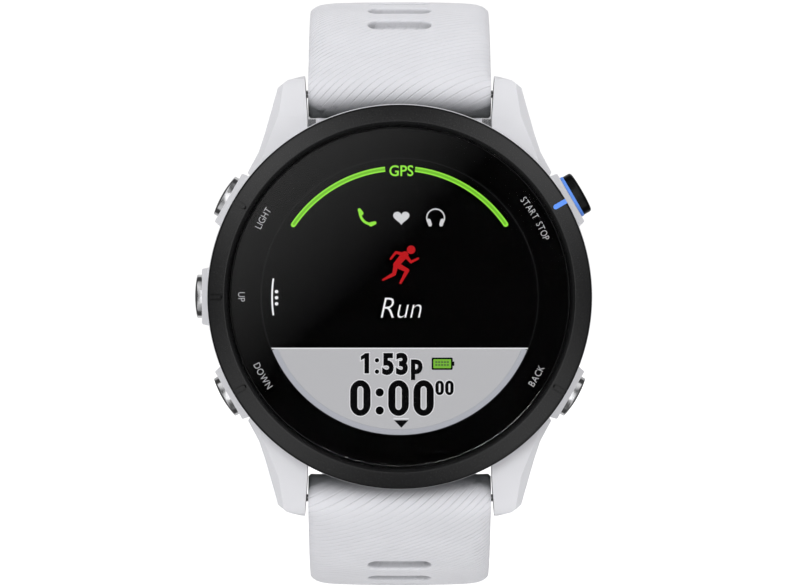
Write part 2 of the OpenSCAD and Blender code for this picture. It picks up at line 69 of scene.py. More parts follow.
BEZEL_LOW, BEZEL_HIGH = node_box("bezel_ring")
BEZEL_R = BEZEL_HIGH.x
FRONT = -BEZEL_LOW.y
LENS_LOW, LENS_HIGH = node_box("lens")
LENS_R = LENS_HIGH.x
LENS_BASE = -LENS_HIGH.y
LENS_TOP = -LENS_LOW.y
DISPLAY_TOP = -node_box("display_panel")[0].y
DISPLAY_R = 16.5
MASK_H = -node_box("lens_mask")[1].y
BUTTON_H = -(node_box("up_button")[0].y + node_box("up_button")[1].y) / 2
BUTTONS = {"light": 150, "up": 180, "down": 210, "start": 30, "back": -30}
SILVER_BUTTONS = [name for name in BUTTONS if name != "start"]
STRAP_FLOOR = node_box("lower_strap")[0].z

# ---- camera ----

VIEW_DISTANCE = 600
AIM = (-0.79, -FRONT, 0.42)
CAMERA_RISE = 8.4


def make_camera():
    data = bpy.data.cameras.new("camera")
    data.lens = 232
    data.sensor_width = 36
    data.clip_start = 0.01
    data.clip_end = 20
    camera = bpy.data.objects.new("camera", data)
    scene.collection.objects.link(camera)
    target = Vector(AIM) * MM
    camera.location = target + Vector((0, -VIEW_DISTANCE, CAMERA_RISE)) * MM
    camera.rotation_euler = (target - camera.location).to_track_quat("-Z", "Y").to_euler()
    scene.camera = camera


# ---- materials ----


def linear(value):
    """A screen value from 0 to 255 as linear light."""
    v = value / 255
    return v / 12.92 if v <= 0.04045 else ((v + 0.055) / 1.055) ** 2.4


def colour(red, green, blue):
    return (linear(red), linear(green), linear(blue), 1)


def scaled(rgba, factor):
    return tuple(min(1, c * factor) for c in rgba[:3]) + (1,)


class Nodes:
    """A material's node tree with its Principled shader and its texture coordinates."""

    def __init__(self, name):
        self.material = bpy.data.materials.new(name)
        self.material.use_nodes = True
        self.tree = self.material.node_tree
        self.shader = self.tree.nodes["Principled BSDF"]
        self.place = self.add("ShaderNodeTexCoord").outputs["Object"]

    def add(self, kind, **values):
        node = self.tree.nodes.new(kind)
        for key, value in values.items():
            setattr(node, key, value)
        return node

    def link(self, a, b):
        self.tree.links.new(a, b)

    def set(self, **values):
        """Sets shader inputs; their names have underscores for spaces."""
        for key, value in values.items():
            self.shader.inputs[key.replace("_", " ")].default_value = value

    def stretched(self, scale):
        mapping = self.add("ShaderNodeMapping")
        mapping.inputs["Scale"].default_value = scale
        self.link(self.place, mapping.inputs["Vector"])
        return mapping.outputs["Vector"]

    def noise(self, size, detail=3, roughness=0.6, stretch=None):
        """Noise with features of the given size in millimetres."""
        node = self.add("ShaderNodeTexNoise")
        node.inputs["Scale"].default_value = 1 / (size * MM)
        node.inputs["Detail"].default_value = detail
        node.inputs["Roughness"].default_value = roughness
        self.link(self.stretched(stretch) if stretch else self.place, node.inputs["Vector"])
        return node.outputs["Fac"]

    def between(self, value, low, high, start=0.3, end=0.7):
        node = self.add("ShaderNodeMapRange")
        node.inputs["From Min"].default_value = start
        node.inputs["From Max"].default_value = end
        node.inputs["To Min"].default_value = low
        node.inputs["To Max"].default_value = high
        self.link(value, node.inputs["Value"])
        return node.outputs["Result"]

    def tint(self, value, a, b):
        node = self.add("ShaderNodeMix", data_type="RGBA")
        node.inputs["A"].default_value = a
        node.inputs["B"].default_value = b
        self.link(value, node.inputs["Factor"])
        return node.outputs["Result"]

    def shaded(self, rgba, reach, dark, full):
        """The colour with painted shade: darkened where something stands closer than the reach in
        millimetres, as crevices, gaps and pockets are shaded. It is whole again where the open share of
        the surroundings is full."""
        near = self.add("ShaderNodeAmbientOcclusion", samples=6)
        near.inputs["Distance"].default_value = reach * MM
        node = self.add("ShaderNodeMix", data_type="RGBA")
        node.inputs["A"].default_value = dark
        self.link(rgba, node.inputs["B"])
        self.link(self.between(near.outputs["AO"], 0, 1, 0.05, full), node.inputs["Factor"])
        return node.outputs["Result"]

    def relief(self, value, depth):
        """Bump of the given depth in millimetres."""
        node = self.add("ShaderNodeBump")
        node.inputs["Distance"].default_value = depth * MM
        self.link(value, node.inputs["Height"])
        return node.outputs["Normal"]


def surface(name, base, rough, vary=0.06, grain=0.25, depth=0.01, rough_vary=0.06, patch=4,
            metallic=0, stretch=None, shade=0, **sockets):
    """A surface whose colour, gloss and fine relief vary: grain and patch are sizes in millimetres. A
    painted shade reach in millimetres, if not zero, darkens the colour with painted shade where other
    parts stand close.
    """
    n = Nodes(name)
    fine = n.noise(grain, 4, 0.6, stretch)
    broad = n.noise(patch, 2, 0.5)
    skin = n.tint(n.between(broad, 0, 1), scaled(base, 1 - vary), scaled(base, 1 + vary))
    if shade:
        # Painted shade: the colour falls to a dark grey in crevices and gaps between parts.
        skin = n.shaded(skin, shade, colour(60, 62, 64), 0.6)
    n.link(skin, n.shader.inputs["Base Color"])
    n.link(n.between(fine, rough - rough_vary, rough + rough_vary), n.shader.inputs["Roughness"])
    n.link(n.relief(fine, depth), n.shader.inputs["Normal"])
    n.set(Metallic=metallic, **sockets)
    return n.material


def look(*values, **more):
    """A surface that is made once its name is known."""
    return lambda name: surface(name, *values, **more)


def painted_glow(name, rgba):
    """Painted light: print or a screen segment made to glow with its own colour, so that it shows
    through the glass without light reaching it.
    """
    n = Nodes(name)
    pixels = n.noise(0.16, 1, 0.4)
    glow = n.tint(n.between(pixels, 0, 1), scaled(rgba, 0.98), scaled(rgba, 1.02))
    n.link(glow, n.shader.inputs["Emission Color"])
    n.set(Emission_Strength=1, Base_Color=(0.004, 0.004, 0.004, 1), Roughness=0.5,
          Specular_IOR_Level=0)
    return n.material


def glass_material(name):
    """Clear glass whose gloss varies faintly, as wiped glass does."""
    n = Nodes(name)
    clear = (1, 1, 1, 1)
    wipe = n.noise(9, 2, 0.4)
    n.link(n.between(wipe, 0.0072, 0.0168), n.shader.inputs["Roughness"])
    n.link(n.tint(n.between(wipe, 0, 1), clear, scaled(clear, 0.995)), n.shader.inputs["Base Color"])
    n.set(Transmission_Weight=1, IOR=1.5)
    return n.material


def strap_material(name):
    """Matt silicone: fine dust-like grain, faint mottling and a little light passing under the skin,
    with painted shade in narrow gaps and pockets and towards the case.
    """
    n = Nodes(name)
    fine = n.noise(0.12, 4, 0.65)
    mottle = n.noise(5, 3, 0.5)
    base = colour(224, 224, 229)
    skin = n.tint(n.between(mottle, 0, 1), scaled(base, 0.97), scaled(base, 1.02))
    # Painted shade: darker within 0.8 mm of other surfaces, in the gaps beside the lugs and in the
    # recesses.
    skin = n.shaded(skin, 0.8, colour(70, 72, 72), 0.5)
    # Painted shade: darker over a 13 mm reach, towards the case and bezel.
    n.link(n.shaded(skin, 13, colour(70, 74, 74), 0.78), n.shader.inputs["Base Color"])
    n.link(n.between(fine, 0.48, 0.66), n.shader.inputs["Roughness"])
    n.link(n.relief(fine, 0.006), n.shader.inputs["Normal"])
    n.set(Subsurface_Weight=0.08, Subsurface_Radius=(1.0, 0.9, 0.85), Subsurface_Scale=0.4 * MM,
          Sheen_Weight=0.08)
    return n.material


WHITE = colour(220, 220, 224)
STEEL = colour(190, 190, 192)
BLUE = colour(96, 150, 245)

FINISHES = {
    # The case white has painted shade within 1.2 mm of close parts.
    "case_white": look(WHITE, 0.42, 0.015, 0.2, 0.006, 0.08, 6, shade=1.2),
    "cover_white": look(colour(222, 223, 227), 0.46, 0.02, 0.2, 0.008),
    "bezel": look(colour(13, 13, 14), 0.24, 0.12, 0.11, 0.005, 0.05, 0.35, Specular_IOR_Level=0.75),
    "accent_blue": look(BLUE, 0.4, 0.03, 0.2, 0.004),
    "lens_glass": glass_material,
    "black_trim": look(colour(5, 5, 6), 0.5, 0.2, 0.3, 0.001, Specular_IOR_Level=0.02),
    "seal": look(colour(30, 30, 31), 0.62, 0.08, 0.15, 0.006),
    "display": look(colour(4, 4, 5), 0.5, 0.2, 0.18, 0.001, Specular_IOR_Level=0.02),
    "inner_white": look(colour(225, 225, 222), 0.5, 0.03, 0.4, 0.006),
    "inner_black": look(colour(24, 24, 25), 0.5, 0.1, 0.2, 0.008),
    "antenna": look(colour(212, 170, 92), 0.28, 0.06, 0.3, 0.004, metallic=1),
    "board": look(colour(24, 84, 50), 0.4, 0.2, 0.5, 0.02, patch=1.2),
    "shield": look(STEEL, 0.3, 0.05, 0.5, 0.004, metallic=1),
    "battery": look(colour(128, 134, 142), 0.35, 0.05, 1.2, 0.03, metallic=0.6),
    "ribbon": look(colour(206, 128, 40), 0.35, 0.12, 0.3, 0.004, patch=0.8),
    "led": look(colour(150, 235, 150), 0.3, 0.1, 0.3, 0.002, patch=0.8),
    "sensor_glass": look(colour(17, 18, 20), 0.12, 0.1, 0.5, 0.0008, 0.04, Coat_Weight=1.0),
    "steel": look(STEEL, 0.26, 0.05, 0.25, 0.003, metallic=1),
    "button_silver": look(colour(214, 214, 216), 0.13, 0.03, 0.4, 0.0012, 0.04, metallic=1),
    "start_black": look(colour(26, 27, 28), 0.2, 0.12, 0.3, 0.0015, metallic=0.7),
    "buckle_steel": look(colour(196, 197, 199), 0.24, 0.03, 0.12, 0.002, 0.06, metallic=1,
                         stretch=(1, 0.08, 0.08)),
    "strap": strap_material,
}


def make_finishes():
    """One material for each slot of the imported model."""
    return {slot: make(slot) for slot, make in FINISHES.items()}


# ---- meshes ----


MERGE = 0.0004


def solid_mesh(name, verts, faces):
    """A closed mesh from points in millimetres, with its faces turned outwards."""
    mesh = bpy.data.meshes.new(name)
    mesh.from_pydata([Vector(v) * MM for v in verts], [], faces)
    work = bmesh.new()
    work.from_mesh(mesh)
    bmesh.ops.remove_doubles(work, verts=work.verts, dist=MERGE * MM)
    bmesh.ops.recalc_face_normals(work, faces=work.faces)
    work.to_mesh(mesh)
    work.free()
    return mesh


def new_piece(name, verts, faces, body, slot, material=None, replaces=(), crease=35):
    """A mesh piece from points in millimetres, shaded smooth up to the crease angle."""
    mesh = solid_mesh(name, verts, faces)
    mesh.shade_smooth()
    mesh.set_sharp_from_angle(angle=radians(crease))
    piece = bpy.data.objects.new(name, mesh)
    scene.collection.objects.link(piece)
    mesh.materials.append(material or finishes[slot])
    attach(piece, body)
    if replaces:
        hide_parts(*replaces)
    return piece


def rounded(points, radius, steps=4, closed=True):
    """An outline with its corners rounded by arcs, held to the room that each side has."""
    result = []
    count = len(points)
    for i, corner in enumerate(points):
        if not closed and i in (0, count - 1):
            result.append(tuple(corner))
            continue
        p = Vector(corner)
        before = Vector(points[i - 1]) - p
        after = Vector(points[(i + 1) % count]) - p
        turn = before.angle(after)
        if turn > pi - 0.05:
            result.append(tuple(corner))
            continue
        reach = min(radius / max(0.05, sin(turn / 2) / cos(turn / 2)),
                    0.45 * before.length, 0.45 * after.length)
        a = p + before.normalized() * reach
        b = p + after.normalized() * reach
        for k in range(steps + 1):
            t = k / steps
            result.append(tuple(a * (1 - t) ** 2 + p * (2 * t * (1 - t)) + b * t ** 2))
    return result


def lathe(profile, sides=240):
    """Points and faces of a closed profile of (radius, height) turned about the watch's axis.
    A point on the axis becomes one shared point."""
    verts = []
    rings = []
    for r, h in profile:
        if r < 1e-6:
            rings.append([len(verts)] * sides)
            verts.append((0, -h, 0))
        else:
            rings.append(list(range(len(verts), len(verts) + sides)))
            verts += [(r * cos(2 * pi * i / sides), -h, r * sin(2 * pi * i / sides))
                      for i in range(sides)]
    faces = []
    for a, b in zip(rings, rings[1:] + rings[:1]):
        for i in range(sides):
            j = (i + 1) % sides
            corners = list(dict.fromkeys((a[i], a[j], b[j], b[i])))
            if len(corners) > 2:
                faces.append(corners)
    return verts, faces


def loft(rings, close_ends=True):
    """Points and faces joining rings of equal count, in order."""
    count = len(rings[0])
    verts = [p for ring in rings for p in ring]
    faces = []
    for k in range(len(rings) - 1):
        for i in range(count):
            j = (i + 1) % count
            faces.append((k * count + i, k * count + j, (k + 1) * count + j, (k + 1) * count + i))
    if close_ends:
        faces.append(tuple(range(count)))
        faces.append(tuple(range(len(verts) - 1, len(verts) - count - 1, -1)))
    return verts, faces


def evaluated_mesh(holder):
    """A copy of an object's mesh as its modifiers or its lettering make it."""
    bpy.context.view_layer.update()
    return bpy.data.meshes.new_from_object(holder.evaluated_get(bpy.context.evaluated_depsgraph_get()))


def cut_with(piece, verts, faces):
    """Takes a closed mesh in millimetres away from a piece."""
    mesh = solid_mesh("cutter", verts, faces)
    cutter = bpy.data.objects.new("cutter", mesh)
    scene.collection.objects.link(cutter)
    step = piece.modifiers.new("cut", "BOOLEAN")
    step.operation = "DIFFERENCE"
    step.solver = "EXACT"
    step.object = cutter
    shaped = evaluated_mesh(piece)
    piece.modifiers.clear()
    old = piece.data
    piece.data = shaped
    bpy.data.meshes.remove(old)
    bpy.data.objects.remove(cutter)
    bpy.data.meshes.remove(mesh)


def button_place(angle, point):
    """A point [out, across depth, along the case] in a button's own frame, on the watch."""
    out, depth, along = point
    a = radians(angle)
    return (out * cos(a) - along * sin(a), -BUTTON_H + depth, out * sin(a) + along * cos(a))


# ---- front: bezel, glass, print ----

SLOPE_TOP_R = BEZEL_R - 1.95
SLOPE_FALL = 0.4
SLOPE_L = 1.75
MARK_IN_R = BEZEL_R - 1.8
MARK_L = 3
MARK_W = 0.8


def slot_outline(length, width, inner_r):
    """A mark's outline on the bezel: round at its inner end, running out over the rim."""
    half = width / 2
    arc = [(inner_r + half - half * cos(a), half * sin(a))
           for a in [pi / 2 - pi * k / 12 for k in range(13)]]
    return [(inner_r + length, half)] + arc + [(inner_r + length, -half)]


def on_cone(angle, point, level):
    """A place on the bezel's sloping face: point is (radius, across), level is the height."""
    a = radians(angle)
    r, across = point
    return (r * cos(a) - across * sin(a), -level, r * sin(a) + across * cos(a))


def cone_height(r):
    """Height of the bezel's sloping face at a radius."""
    return FRONT - (r - SLOPE_TOP_R) * SLOPE_FALL / SLOPE_L


def mark_prism(angle, outline, sink, top):
    """A closed prism over a mark's outline, its floor following the bezel's slope."""
    low = [on_cone(angle, p, cone_height(p[0]) - sink) for p in outline]
    high = [on_cone(angle, p, top) for p in outline]
    return loft([low, high])


def groove_outline(length, width, inner_r, line):
    """The thin groove round a mark: the outer outline there and the inner outline back."""
    outer = slot_outline(length, width, inner_r)
    inner = slot_outline(length - line, width - 2 * line, inner_r + line)
    return outer + inner[::-1]


def make_bezel():
    profile = rounded([
        (BEZEL_R - 3.8, FRONT - 2.7), (BEZEL_R, FRONT - 2.7), (BEZEL_R, FRONT - 0.55),
        (BEZEL_R - 0.2, FRONT - SLOPE_FALL), (SLOPE_TOP_R, FRONT), (BEZEL_R - 2.25, FRONT - 0.15),
        (BEZEL_R - 2.5, FRONT - 0.5), (BEZEL_R - 2.5, FRONT - 1.9), (BEZEL_R - 3.8, FRONT - 1.9)
    ], 0.12, 3)
    bezel = new_piece("bezel", *lathe(profile, 288), "case", "bezel", replaces=["bezel_ring"])
    seat = slot_outline(MARK_L, MARK_W - 0.1, MARK_IN_R)
    cut_with(bezel, *mark_prism(BUTTONS["start"], seat, 0.25, FRONT + 1))
    ditch = groove_outline(MARK_L, MARK_W, MARK_IN_R, 0.19)
    for name in SILVER_BUTTONS:
        cut_with(bezel, *mark_prism(BUTTONS[name], ditch, 0.45, FRONT + 1))
    bezel.data.shade_smooth()
    bezel.data.set_sharp_from_angle(angle=radians(35))
    inlay = slot_outline(BEZEL_R - MARK_IN_R - 0.06, 0.58, MARK_IN_R + 0.06)
    at = BUTTONS["start"]
    low = [on_cone(at, p, cone_height(p[0]) - 0.24) for p in inlay]
    high = [on_cone(at, p, min(cone_height(p[0]), FRONT - 0.5 + (BEZEL_R - p[0]))) for p in inlay]
    new_piece("bezel_start_inlay", *loft([low, high]), "case", "accent_blue",
              replaces=["bezel_start_mark"])


PRINT_TOP = LENS_BASE + 0.01
LABEL_H = PRINT_TOP + 0.003
LABEL_T = 0.01
GLASS_BASE = LABEL_H + LABEL_T + 0.007


def make_lens():
    edge = LENS_R - 0.13
    profile = [(0, GLASS_BASE)] + rounded([
        (edge - 0.05, GLASS_BASE), (edge, GLASS_BASE + 0.06), (edge, LENS_TOP - 0.07),
        (edge - 0.07, LENS_TOP)
    ], 0.02, 2, closed=False) + [(0, LENS_TOP)]
    new_piece("lens_glass", *lathe(profile, 240), "case", "lens_glass", replaces=["lens"])


def make_lens_print():
    """The black border printed under the glass, from the display's edge to the bezel."""
    mask_r = LENS_R - 1.3
    profile = [
        (DISPLAY_R + 0.05, MASK_H), (mask_r, MASK_H), (mask_r, LENS_BASE + 0.001),
        (LENS_R - 0.08, LENS_BASE + 0.001), (LENS_R - 0.08, PRINT_TOP), (DISPLAY_R + 0.05, PRINT_TOP)
    ]
    new_piece("lens_print", *lathe(profile, 240), "case", "black_trim", replaces=["lens_mask"],
              crease=20)


# ---- flat graphics under the glass ----


def ellipse(x, z, rx, rz=None, sides=36):
    rz = rz or rx
    return [(x + rx * cos(2 * pi * i / sides), z + rz * sin(2 * pi * i / sides)) for i in range(sides)]


def capsule(a, b, ra, rb=None, sides=10):
    """A stroke from a to b with round ends, which may taper from ra to rb."""
    rb = rb or ra
    heading = atan2(b[1] - a[1], b[0] - a[0])
    tail = [(a[0] + ra * cos(heading + pi / 2 + pi * i / sides),
             a[1] + ra * sin(heading + pi / 2 + pi * i / sides)) for i in range(sides + 1)]
    tip = [(b[0] + rb * cos(heading - pi / 2 + pi * i / sides),
            b[1] + rb * sin(heading - pi / 2 + pi * i / sides)) for i in range(sides + 1)]
    return tail + tip


def arc_points(x, z, r, start, end, steps):
    return [(x + r * cos(radians(start + (end - start) * i / steps)),
             z + r * sin(radians(start + (end - start) * i / steps))) for i in range(steps + 1)]


def arc_band(x, z, r, width, start, end, steps=24):
    """A band along an arc, with square ends."""
    outer = arc_points(x, z, r + width / 2, start, end, steps)
    inner = arc_points(x, z, r - width / 2, start, end, steps)
    return outer + inner[::-1]


def rounded_box(x0, z0, x1, z1, r):
    return rounded([(x0, z0), (x1, z0), (x1, z1), (x0, z1)], r, 5)


class Flat:
    """Flat shapes on one level, each a thin closed plate; together they make one piece."""

    def __init__(self, level, thickness=0.01):
        self.low = level
        self.high = level + thickness
        self.verts = []
        self.faces = []

    def fill(self, outline):
        """A plate inside one outline."""
        base = len(self.verts)
        count = len(outline)
        for h in (self.low, self.high):
            self.verts += [(x, -h, z) for x, z in outline]
        self.faces.append([base + i for i in range(count)])
        self.faces.append([base + count + i for i in reversed(range(count))])
        for i in range(count):
            j = (i + 1) % count
            self.faces.append([base + i, base + j, base + count + j, base + count + i])

    def ring(self, outer, inner):
        """A plate between two outlines with equally many points."""
        base = len(self.verts)
        count = len(outer)
        for h in (self.low, self.high):
            for outline in (outer, inner):
                self.verts += [(x, -h, z) for x, z in outline]
        for i in range(count):
            j = (i + 1) % count
            loops = [base + k * count for k in (0, 1, 3, 2, 0)]
            for a, b in zip(loops, loops[1:]):
                self.faces.append([a + i, a + j, b + j, b + i])

    def stroke(self, points, width):
        for a, b in zip(points, points[1:]):
            self.fill(capsule(a, b, width / 2))

    def text(self, words, place, height, stretch=1, bold=0, slant=0, turn=0, width=None):
        """Lettering centred at place. Height is a capital's; width, if given, fixes the length."""
        shape = letters(words, bold, slant, self.high - self.low)
        size = height / CAPITAL
        xs = [v[0] for v in shape[0]]
        middle = (min(xs) + max(xs)) / 2
        wide = size * stretch
        if width:
            wide = width / (max(xs) - min(xs))
        base = len(self.verts)
        for x, y, up in shape[0]:
            a = (x - middle) * wide
            b = y * size - height / 2
            self.verts.append((place[0] + a * cos(turn) - b * sin(turn), -(self.low + up),
                               place[1] + a * sin(turn) + b * cos(turn)))
        self.faces += [[base + i for i in face] for face in shape[1]]

    def piece(self, name, rgba, slot="display"):
        # The piece glows with its colour: painted light.
        new_piece(name, self.verts, self.faces, "case", slot, painted_glow(name, rgba), crease=20)


CAPITAL = 0.729
_letter_shapes = {}


def letters(words, bold, slant, thickness):
    """Points (x, y, height in mm) and faces of lettering one unit high."""
    key = (words, bold, slant)
    if key not in _letter_shapes:
        curve = bpy.data.curves.new("letters", "FONT")
        curve.body = words
        curve.offset = bold
        curve.shear = slant
        curve.extrude = 0.5
        curve.resolution_u = 4
        holder = bpy.data.objects.new("letters", curve)
        scene.collection.objects.link(holder)
        mesh = evaluated_mesh(holder)
        verts = [(v.co.x, v.co.y, v.co.z + 0.5) for v in mesh.vertices]
        faces = [list(p.vertices) for p in mesh.polygons]
        bpy.data.objects.remove(holder)
        bpy.data.curves.remove(curve)
        bpy.data.meshes.remove(mesh)
        _letter_shapes[key] = (verts, faces)
    verts, faces = _letter_shapes[key]
    return [(x, y, up * thickness) for x, y, up in verts], faces


def label(flat, words, angle, inward, r=18.75, height=0.85, stretch=0.84, bold=-0.008):
    """Lettering along the border. Outward lettering reads clockwise, inward anticlockwise."""
    gap = 0.13
    widths = []
    for letter in words:
        if letter == " ":
            widths.append(0.32)
            continue
        xs = [v[0] for v in letters(letter, bold, 0, 1)[0]]
        widths.append((max(xs) - min(xs)) * stretch * height / CAPITAL)
    total = sum(widths) + gap * (len(words) - 1)
    along = -total / 2
    way = 1 if inward else -1
    for letter, width in zip(words, widths):
        centre = angle + way * (along + width / 2) / r * 180 / pi
        if letter != " ":
            a = radians(centre)
            flat.text(letter, (r * cos(a), r * sin(a)), height, stretch, bold,
                      turn=a + way * pi / 2)
        along += width + gap


SCREEN = DISPLAY_TOP + 0.004
STEP = 0.013
GAUGE_R = 15.25
GAUGE_ARCS = ((34.4, 83.1), (96.5, 145.8))


def curve_points(a, b, c, steps=12):
    """Points along a curve from a to c that bends towards b."""
    shares = [((1 - t) ** 2, 2 * t * (1 - t), t * t) for t in [i / steps for i in range(steps + 1)]]
    return [(a[0] * u + b[0] * v + c[0] * w, a[1] * u + b[1] * v + c[1] * w) for u, v, w in shares]


def make_status_row():
    green = Flat(SCREEN)
    core = Flat(SCREEN + STEP)
    for start, end in GAUGE_ARCS:
        green.fill(arc_band(0, 0, GAUGE_R, 0.6, start, end, 40))
        core.fill(arc_band(0, 0, GAUGE_R, 0.26, start, end, 40))
        tip = radians(start if start < 60 else end)
        green.fill(ellipse(GAUGE_R * cos(tip), GAUGE_R * sin(tip), 0.3, sides=20))
    green.text("GPS", (0.2, 15.02), 1.3, bold=0.012, width=2.85)
    green.stroke(curve_points((-4.74, 10.1), (-4.6, 8.7), (-3.2, 8.6)), 0.3)
    green.fill(capsule((-4.78, 10.32), (-4.56, 9.92), 0.2, 0.26))
    green.fill(capsule((-3.42, 8.62), (-2.96, 8.78), 0.26, 0.2))
    green.piece("screen_green", colour(150, 235, 70))
    core.piece("screen_green_core", colour(118, 196, 48))


def heart_outline(x, z, w, h):
    """A heart: two lobes and a point."""
    points = []
    for i in range(48):
        t = 2 * pi * i / 48
        u = 16 * sin(t) ** 3 / 32
        v = (13 * cos(t) - 5 * cos(2 * t) - 2 * cos(3 * t) - cos(4 * t) + 2.5) / 29
        points.append((x + u * w, z + v * h))
    return points


def make_status_icons():
    pale = Flat(SCREEN)
    pale.fill(heart_outline(0.2, 9.31, 1.93, 1.6))
    pale.fill(arc_band(4.27, 9.38, 1.05, 0.15, -32, 212, 32))
    for side in (-1, 1):
        pale.fill(capsule((4.27 + side * 0.66, 8.58), (4.27 + side * 0.8, 9.06), 0.22))
    pale.piece("screen_icons", colour(214, 215, 217))


def make_runner():
    """A plain running figure drawn with tapered strokes."""
    red = Flat(SCREEN)
    red.fill(ellipse(1.36, 5.6, 0.5))
    shoulder = (0.62, 5.0)
    hip = (-0.42, 3.82)
    red.fill(capsule(shoulder, hip, 0.42, 0.34))
    limbs = [
        (shoulder, (-0.45, 5.28), 0.22, 0.15), ((-0.45, 5.28), (-1.06, 4.52), 0.15, 0.12),
        (shoulder, (1.34, 4.14), 0.24, 0.16), ((1.34, 4.14), (2.2, 4.56), 0.16, 0.12),
        (hip, (0.9, 3.14), 0.34, 0.24), ((0.9, 3.14), (0.1, 1.66), 0.24, 0.13),
        (hip, (-0.66, 2.72), 0.28, 0.22), ((-0.66, 2.72), (-1.98, 2.02), 0.22, 0.11)
    ]
    for a, b, ra, rb in limbs:
        red.fill(capsule(a, b, ra, rb))
    red.piece("screen_runner", colour(188, 28, 32))


def make_title():
    white = Flat(SCREEN)
    white.text("Run", (0.18, -1.2), 2.62, bold=-0.014, slant=0.24, width=4.84)
    marker = arc_points(0, 0, 15.15, 172, 188, 16)
    white.stroke(marker, 0.2)
    for z in (0.62, -0.1, -0.82):
        white.fill(ellipse(-14.62, z, 0.21, sides=20))
    white.piece("screen_title", colour(246, 246, 248))


ZONE_TOP = -6.12


def degrees_below(r, level):
    """How far below the centre's own level a circle of radius r crosses a lower level."""
    return atan2(-level, sqrt(r * r - level * level)) * 180 / pi


def make_time_zone():
    top = ZONE_TOP - 0.08
    zone = Flat(SCREEN)
    a = degrees_below(DISPLAY_R - 0.75, top)
    zone.fill(arc_points(0, 0, DISPLAY_R - 0.75, 180 + a, 360 - a, 72))
    zone.piece("screen_zone", colour(189, 189, 192))
    rim = Flat(SCREEN)
    a = degrees_below(DISPLAY_R - 0.42, top)
    rim.fill(arc_band(0, 0, DISPLAY_R - 0.42, 0.64, 180 + a, 360 - a, 80))
    rim.piece("screen_zone_rim", colour(176, 178, 186))
    line = Flat(SCREEN + STEP)
    half = sqrt((DISPLAY_R - 0.1) ** 2 - ZONE_TOP ** 2)
    line.fill([(-half, ZONE_TOP - 0.075), (half, ZONE_TOP - 0.075),
               (half, ZONE_TOP + 0.075), (-half, ZONE_TOP + 0.075)])
    line.fill([(-0.75, -14.42), (1.1, -14.42), (1.1, -14.54), (-0.75, -14.54)])
    line.piece("screen_zone_line", colour(232, 233, 236))


def zero(flat, x0, x1, z0, z1, side, gap=0.0):
    """A narrow zero: a tall ring with round ends, grown by gap."""
    outer = rounded_pill(x0 - gap, x1 + gap, z0 - gap, z1 + gap)
    inner = rounded_pill(x0 + side + gap, x1 - side - gap, z0 + side * 0.85 + gap,
                         z1 - side * 0.85 - gap)
    flat.ring(outer, inner)


def rounded_pill(x0, x1, z0, z1, sides=16):
    """An upright pill whose ends are half ellipses, with a fixed number of points."""
    rx = (x1 - x0) / 2
    rz = min((z1 - z0) / 2, rx * 1.15)
    x = (x0 + x1) / 2
    top = [(x + rx * cos(pi * i / sides), z1 - rz + rz * sin(pi * i / sides)) for i in range(sides + 1)]
    low = [(x - rx * cos(pi * i / sides), z0 + rz - rz * sin(pi * i / sides)) for i in range(sides + 1)]
    return top + low


def grown(outline, gap):
    """An outline, listed anticlockwise, with each side moved outwards by gap."""
    if not gap:
        return outline
    result = []
    for i, corner in enumerate(outline):
        p = Vector(corner)
        a = (p - Vector(outline[i - 1])).normalized()
        b = (Vector(outline[(i + 1) % len(outline)]) - p).normalized()
        side = Vector((a.y, -a.x)) + Vector((b.y, -b.x))
        result.append(tuple(p + side * gap / max(0.4, side.length_squared / 2)))
    return result


def clock_shapes(flat, gap):
    """The time of day and the stopwatch, grown by gap for their pale outline."""
    bold = 0.05 + gap / 2.43 * CAPITAL
    flat.fill(grown([(-3.62, -9.1), (-3.62, -6.67), (-4.05, -6.67), (-4.62, -7.06), (-4.62, -7.55),
                     (-4.18, -7.3), (-4.18, -9.1)], gap))
    for words, x0, x1 in (("5", -2.08, -0.7), ("3", -0.44, 0.98)):
        flat.text(words, ((x0 + x1) / 2, -7.885), 2.43, bold=bold, width=x1 - x0 + 2 * gap)
    flat.text("p", (2.03, -7.85), 2.3, bold=bold, width=1.4 + 2 * gap)
    for z in (-7.54, -8.88):
        flat.fill(ellipse(-2.69, z, 0.26 + gap, sides=20))
    for x0, x1 in ((-5.88, -3.45), (-1.36, 1.1), (1.63, 4.06)):
        zero(flat, x0, x1, -14.15, -9.89, 0.86, gap)
    for z in (-11.35, -13.5):
        flat.fill(ellipse(-2.37, z, 0.49 + gap, sides=28))
    for x0, x1 in ((4.24, 5.26), (5.4, 6.42)):
        zero(flat, x0, x1, -11.68, -9.94, 0.4, gap)


def make_clock():
    pale = Flat(SCREEN + STEP)
    clock_shapes(pale, 0.11)
    pale.piece("screen_clock_outline", colour(226, 226, 229))
    black = Flat(SCREEN + 2 * STEP)
    clock_shapes(black, 0)
    black.ring(rounded_box(3.8, -8.67, 6.3, -7.21, 0.15), rounded_box(4.01, -8.46, 6.09, -7.42, 0.06))
    black.fill([(6.3, -8.2), (6.5, -8.2), (6.5, -7.68), (6.3, -7.68)])
    black.fill([(-0.66, -14.66), (0.2, -15.55), (1.06, -14.66)])
    black.piece("screen_clock", colour(8, 8, 9))
    charge = Flat(SCREEN + 2 * STEP)
    charge.fill(rounded_box(4.0, -8.47, 6.1, -7.41, 0.04))
    charge.piece("screen_charge", colour(122, 186, 62))
    cells = Flat(SCREEN + 3 * STEP)
    for i in range(5):
        for z in (-8.2, -7.86):
            x = 4.24 + i * 0.34
            cells.fill([(x, z), (x + 0.24, z), (x + 0.24, z + 0.22), (x, z + 0.22)])
    cells.piece("screen_charge_cells", colour(84, 112, 62))


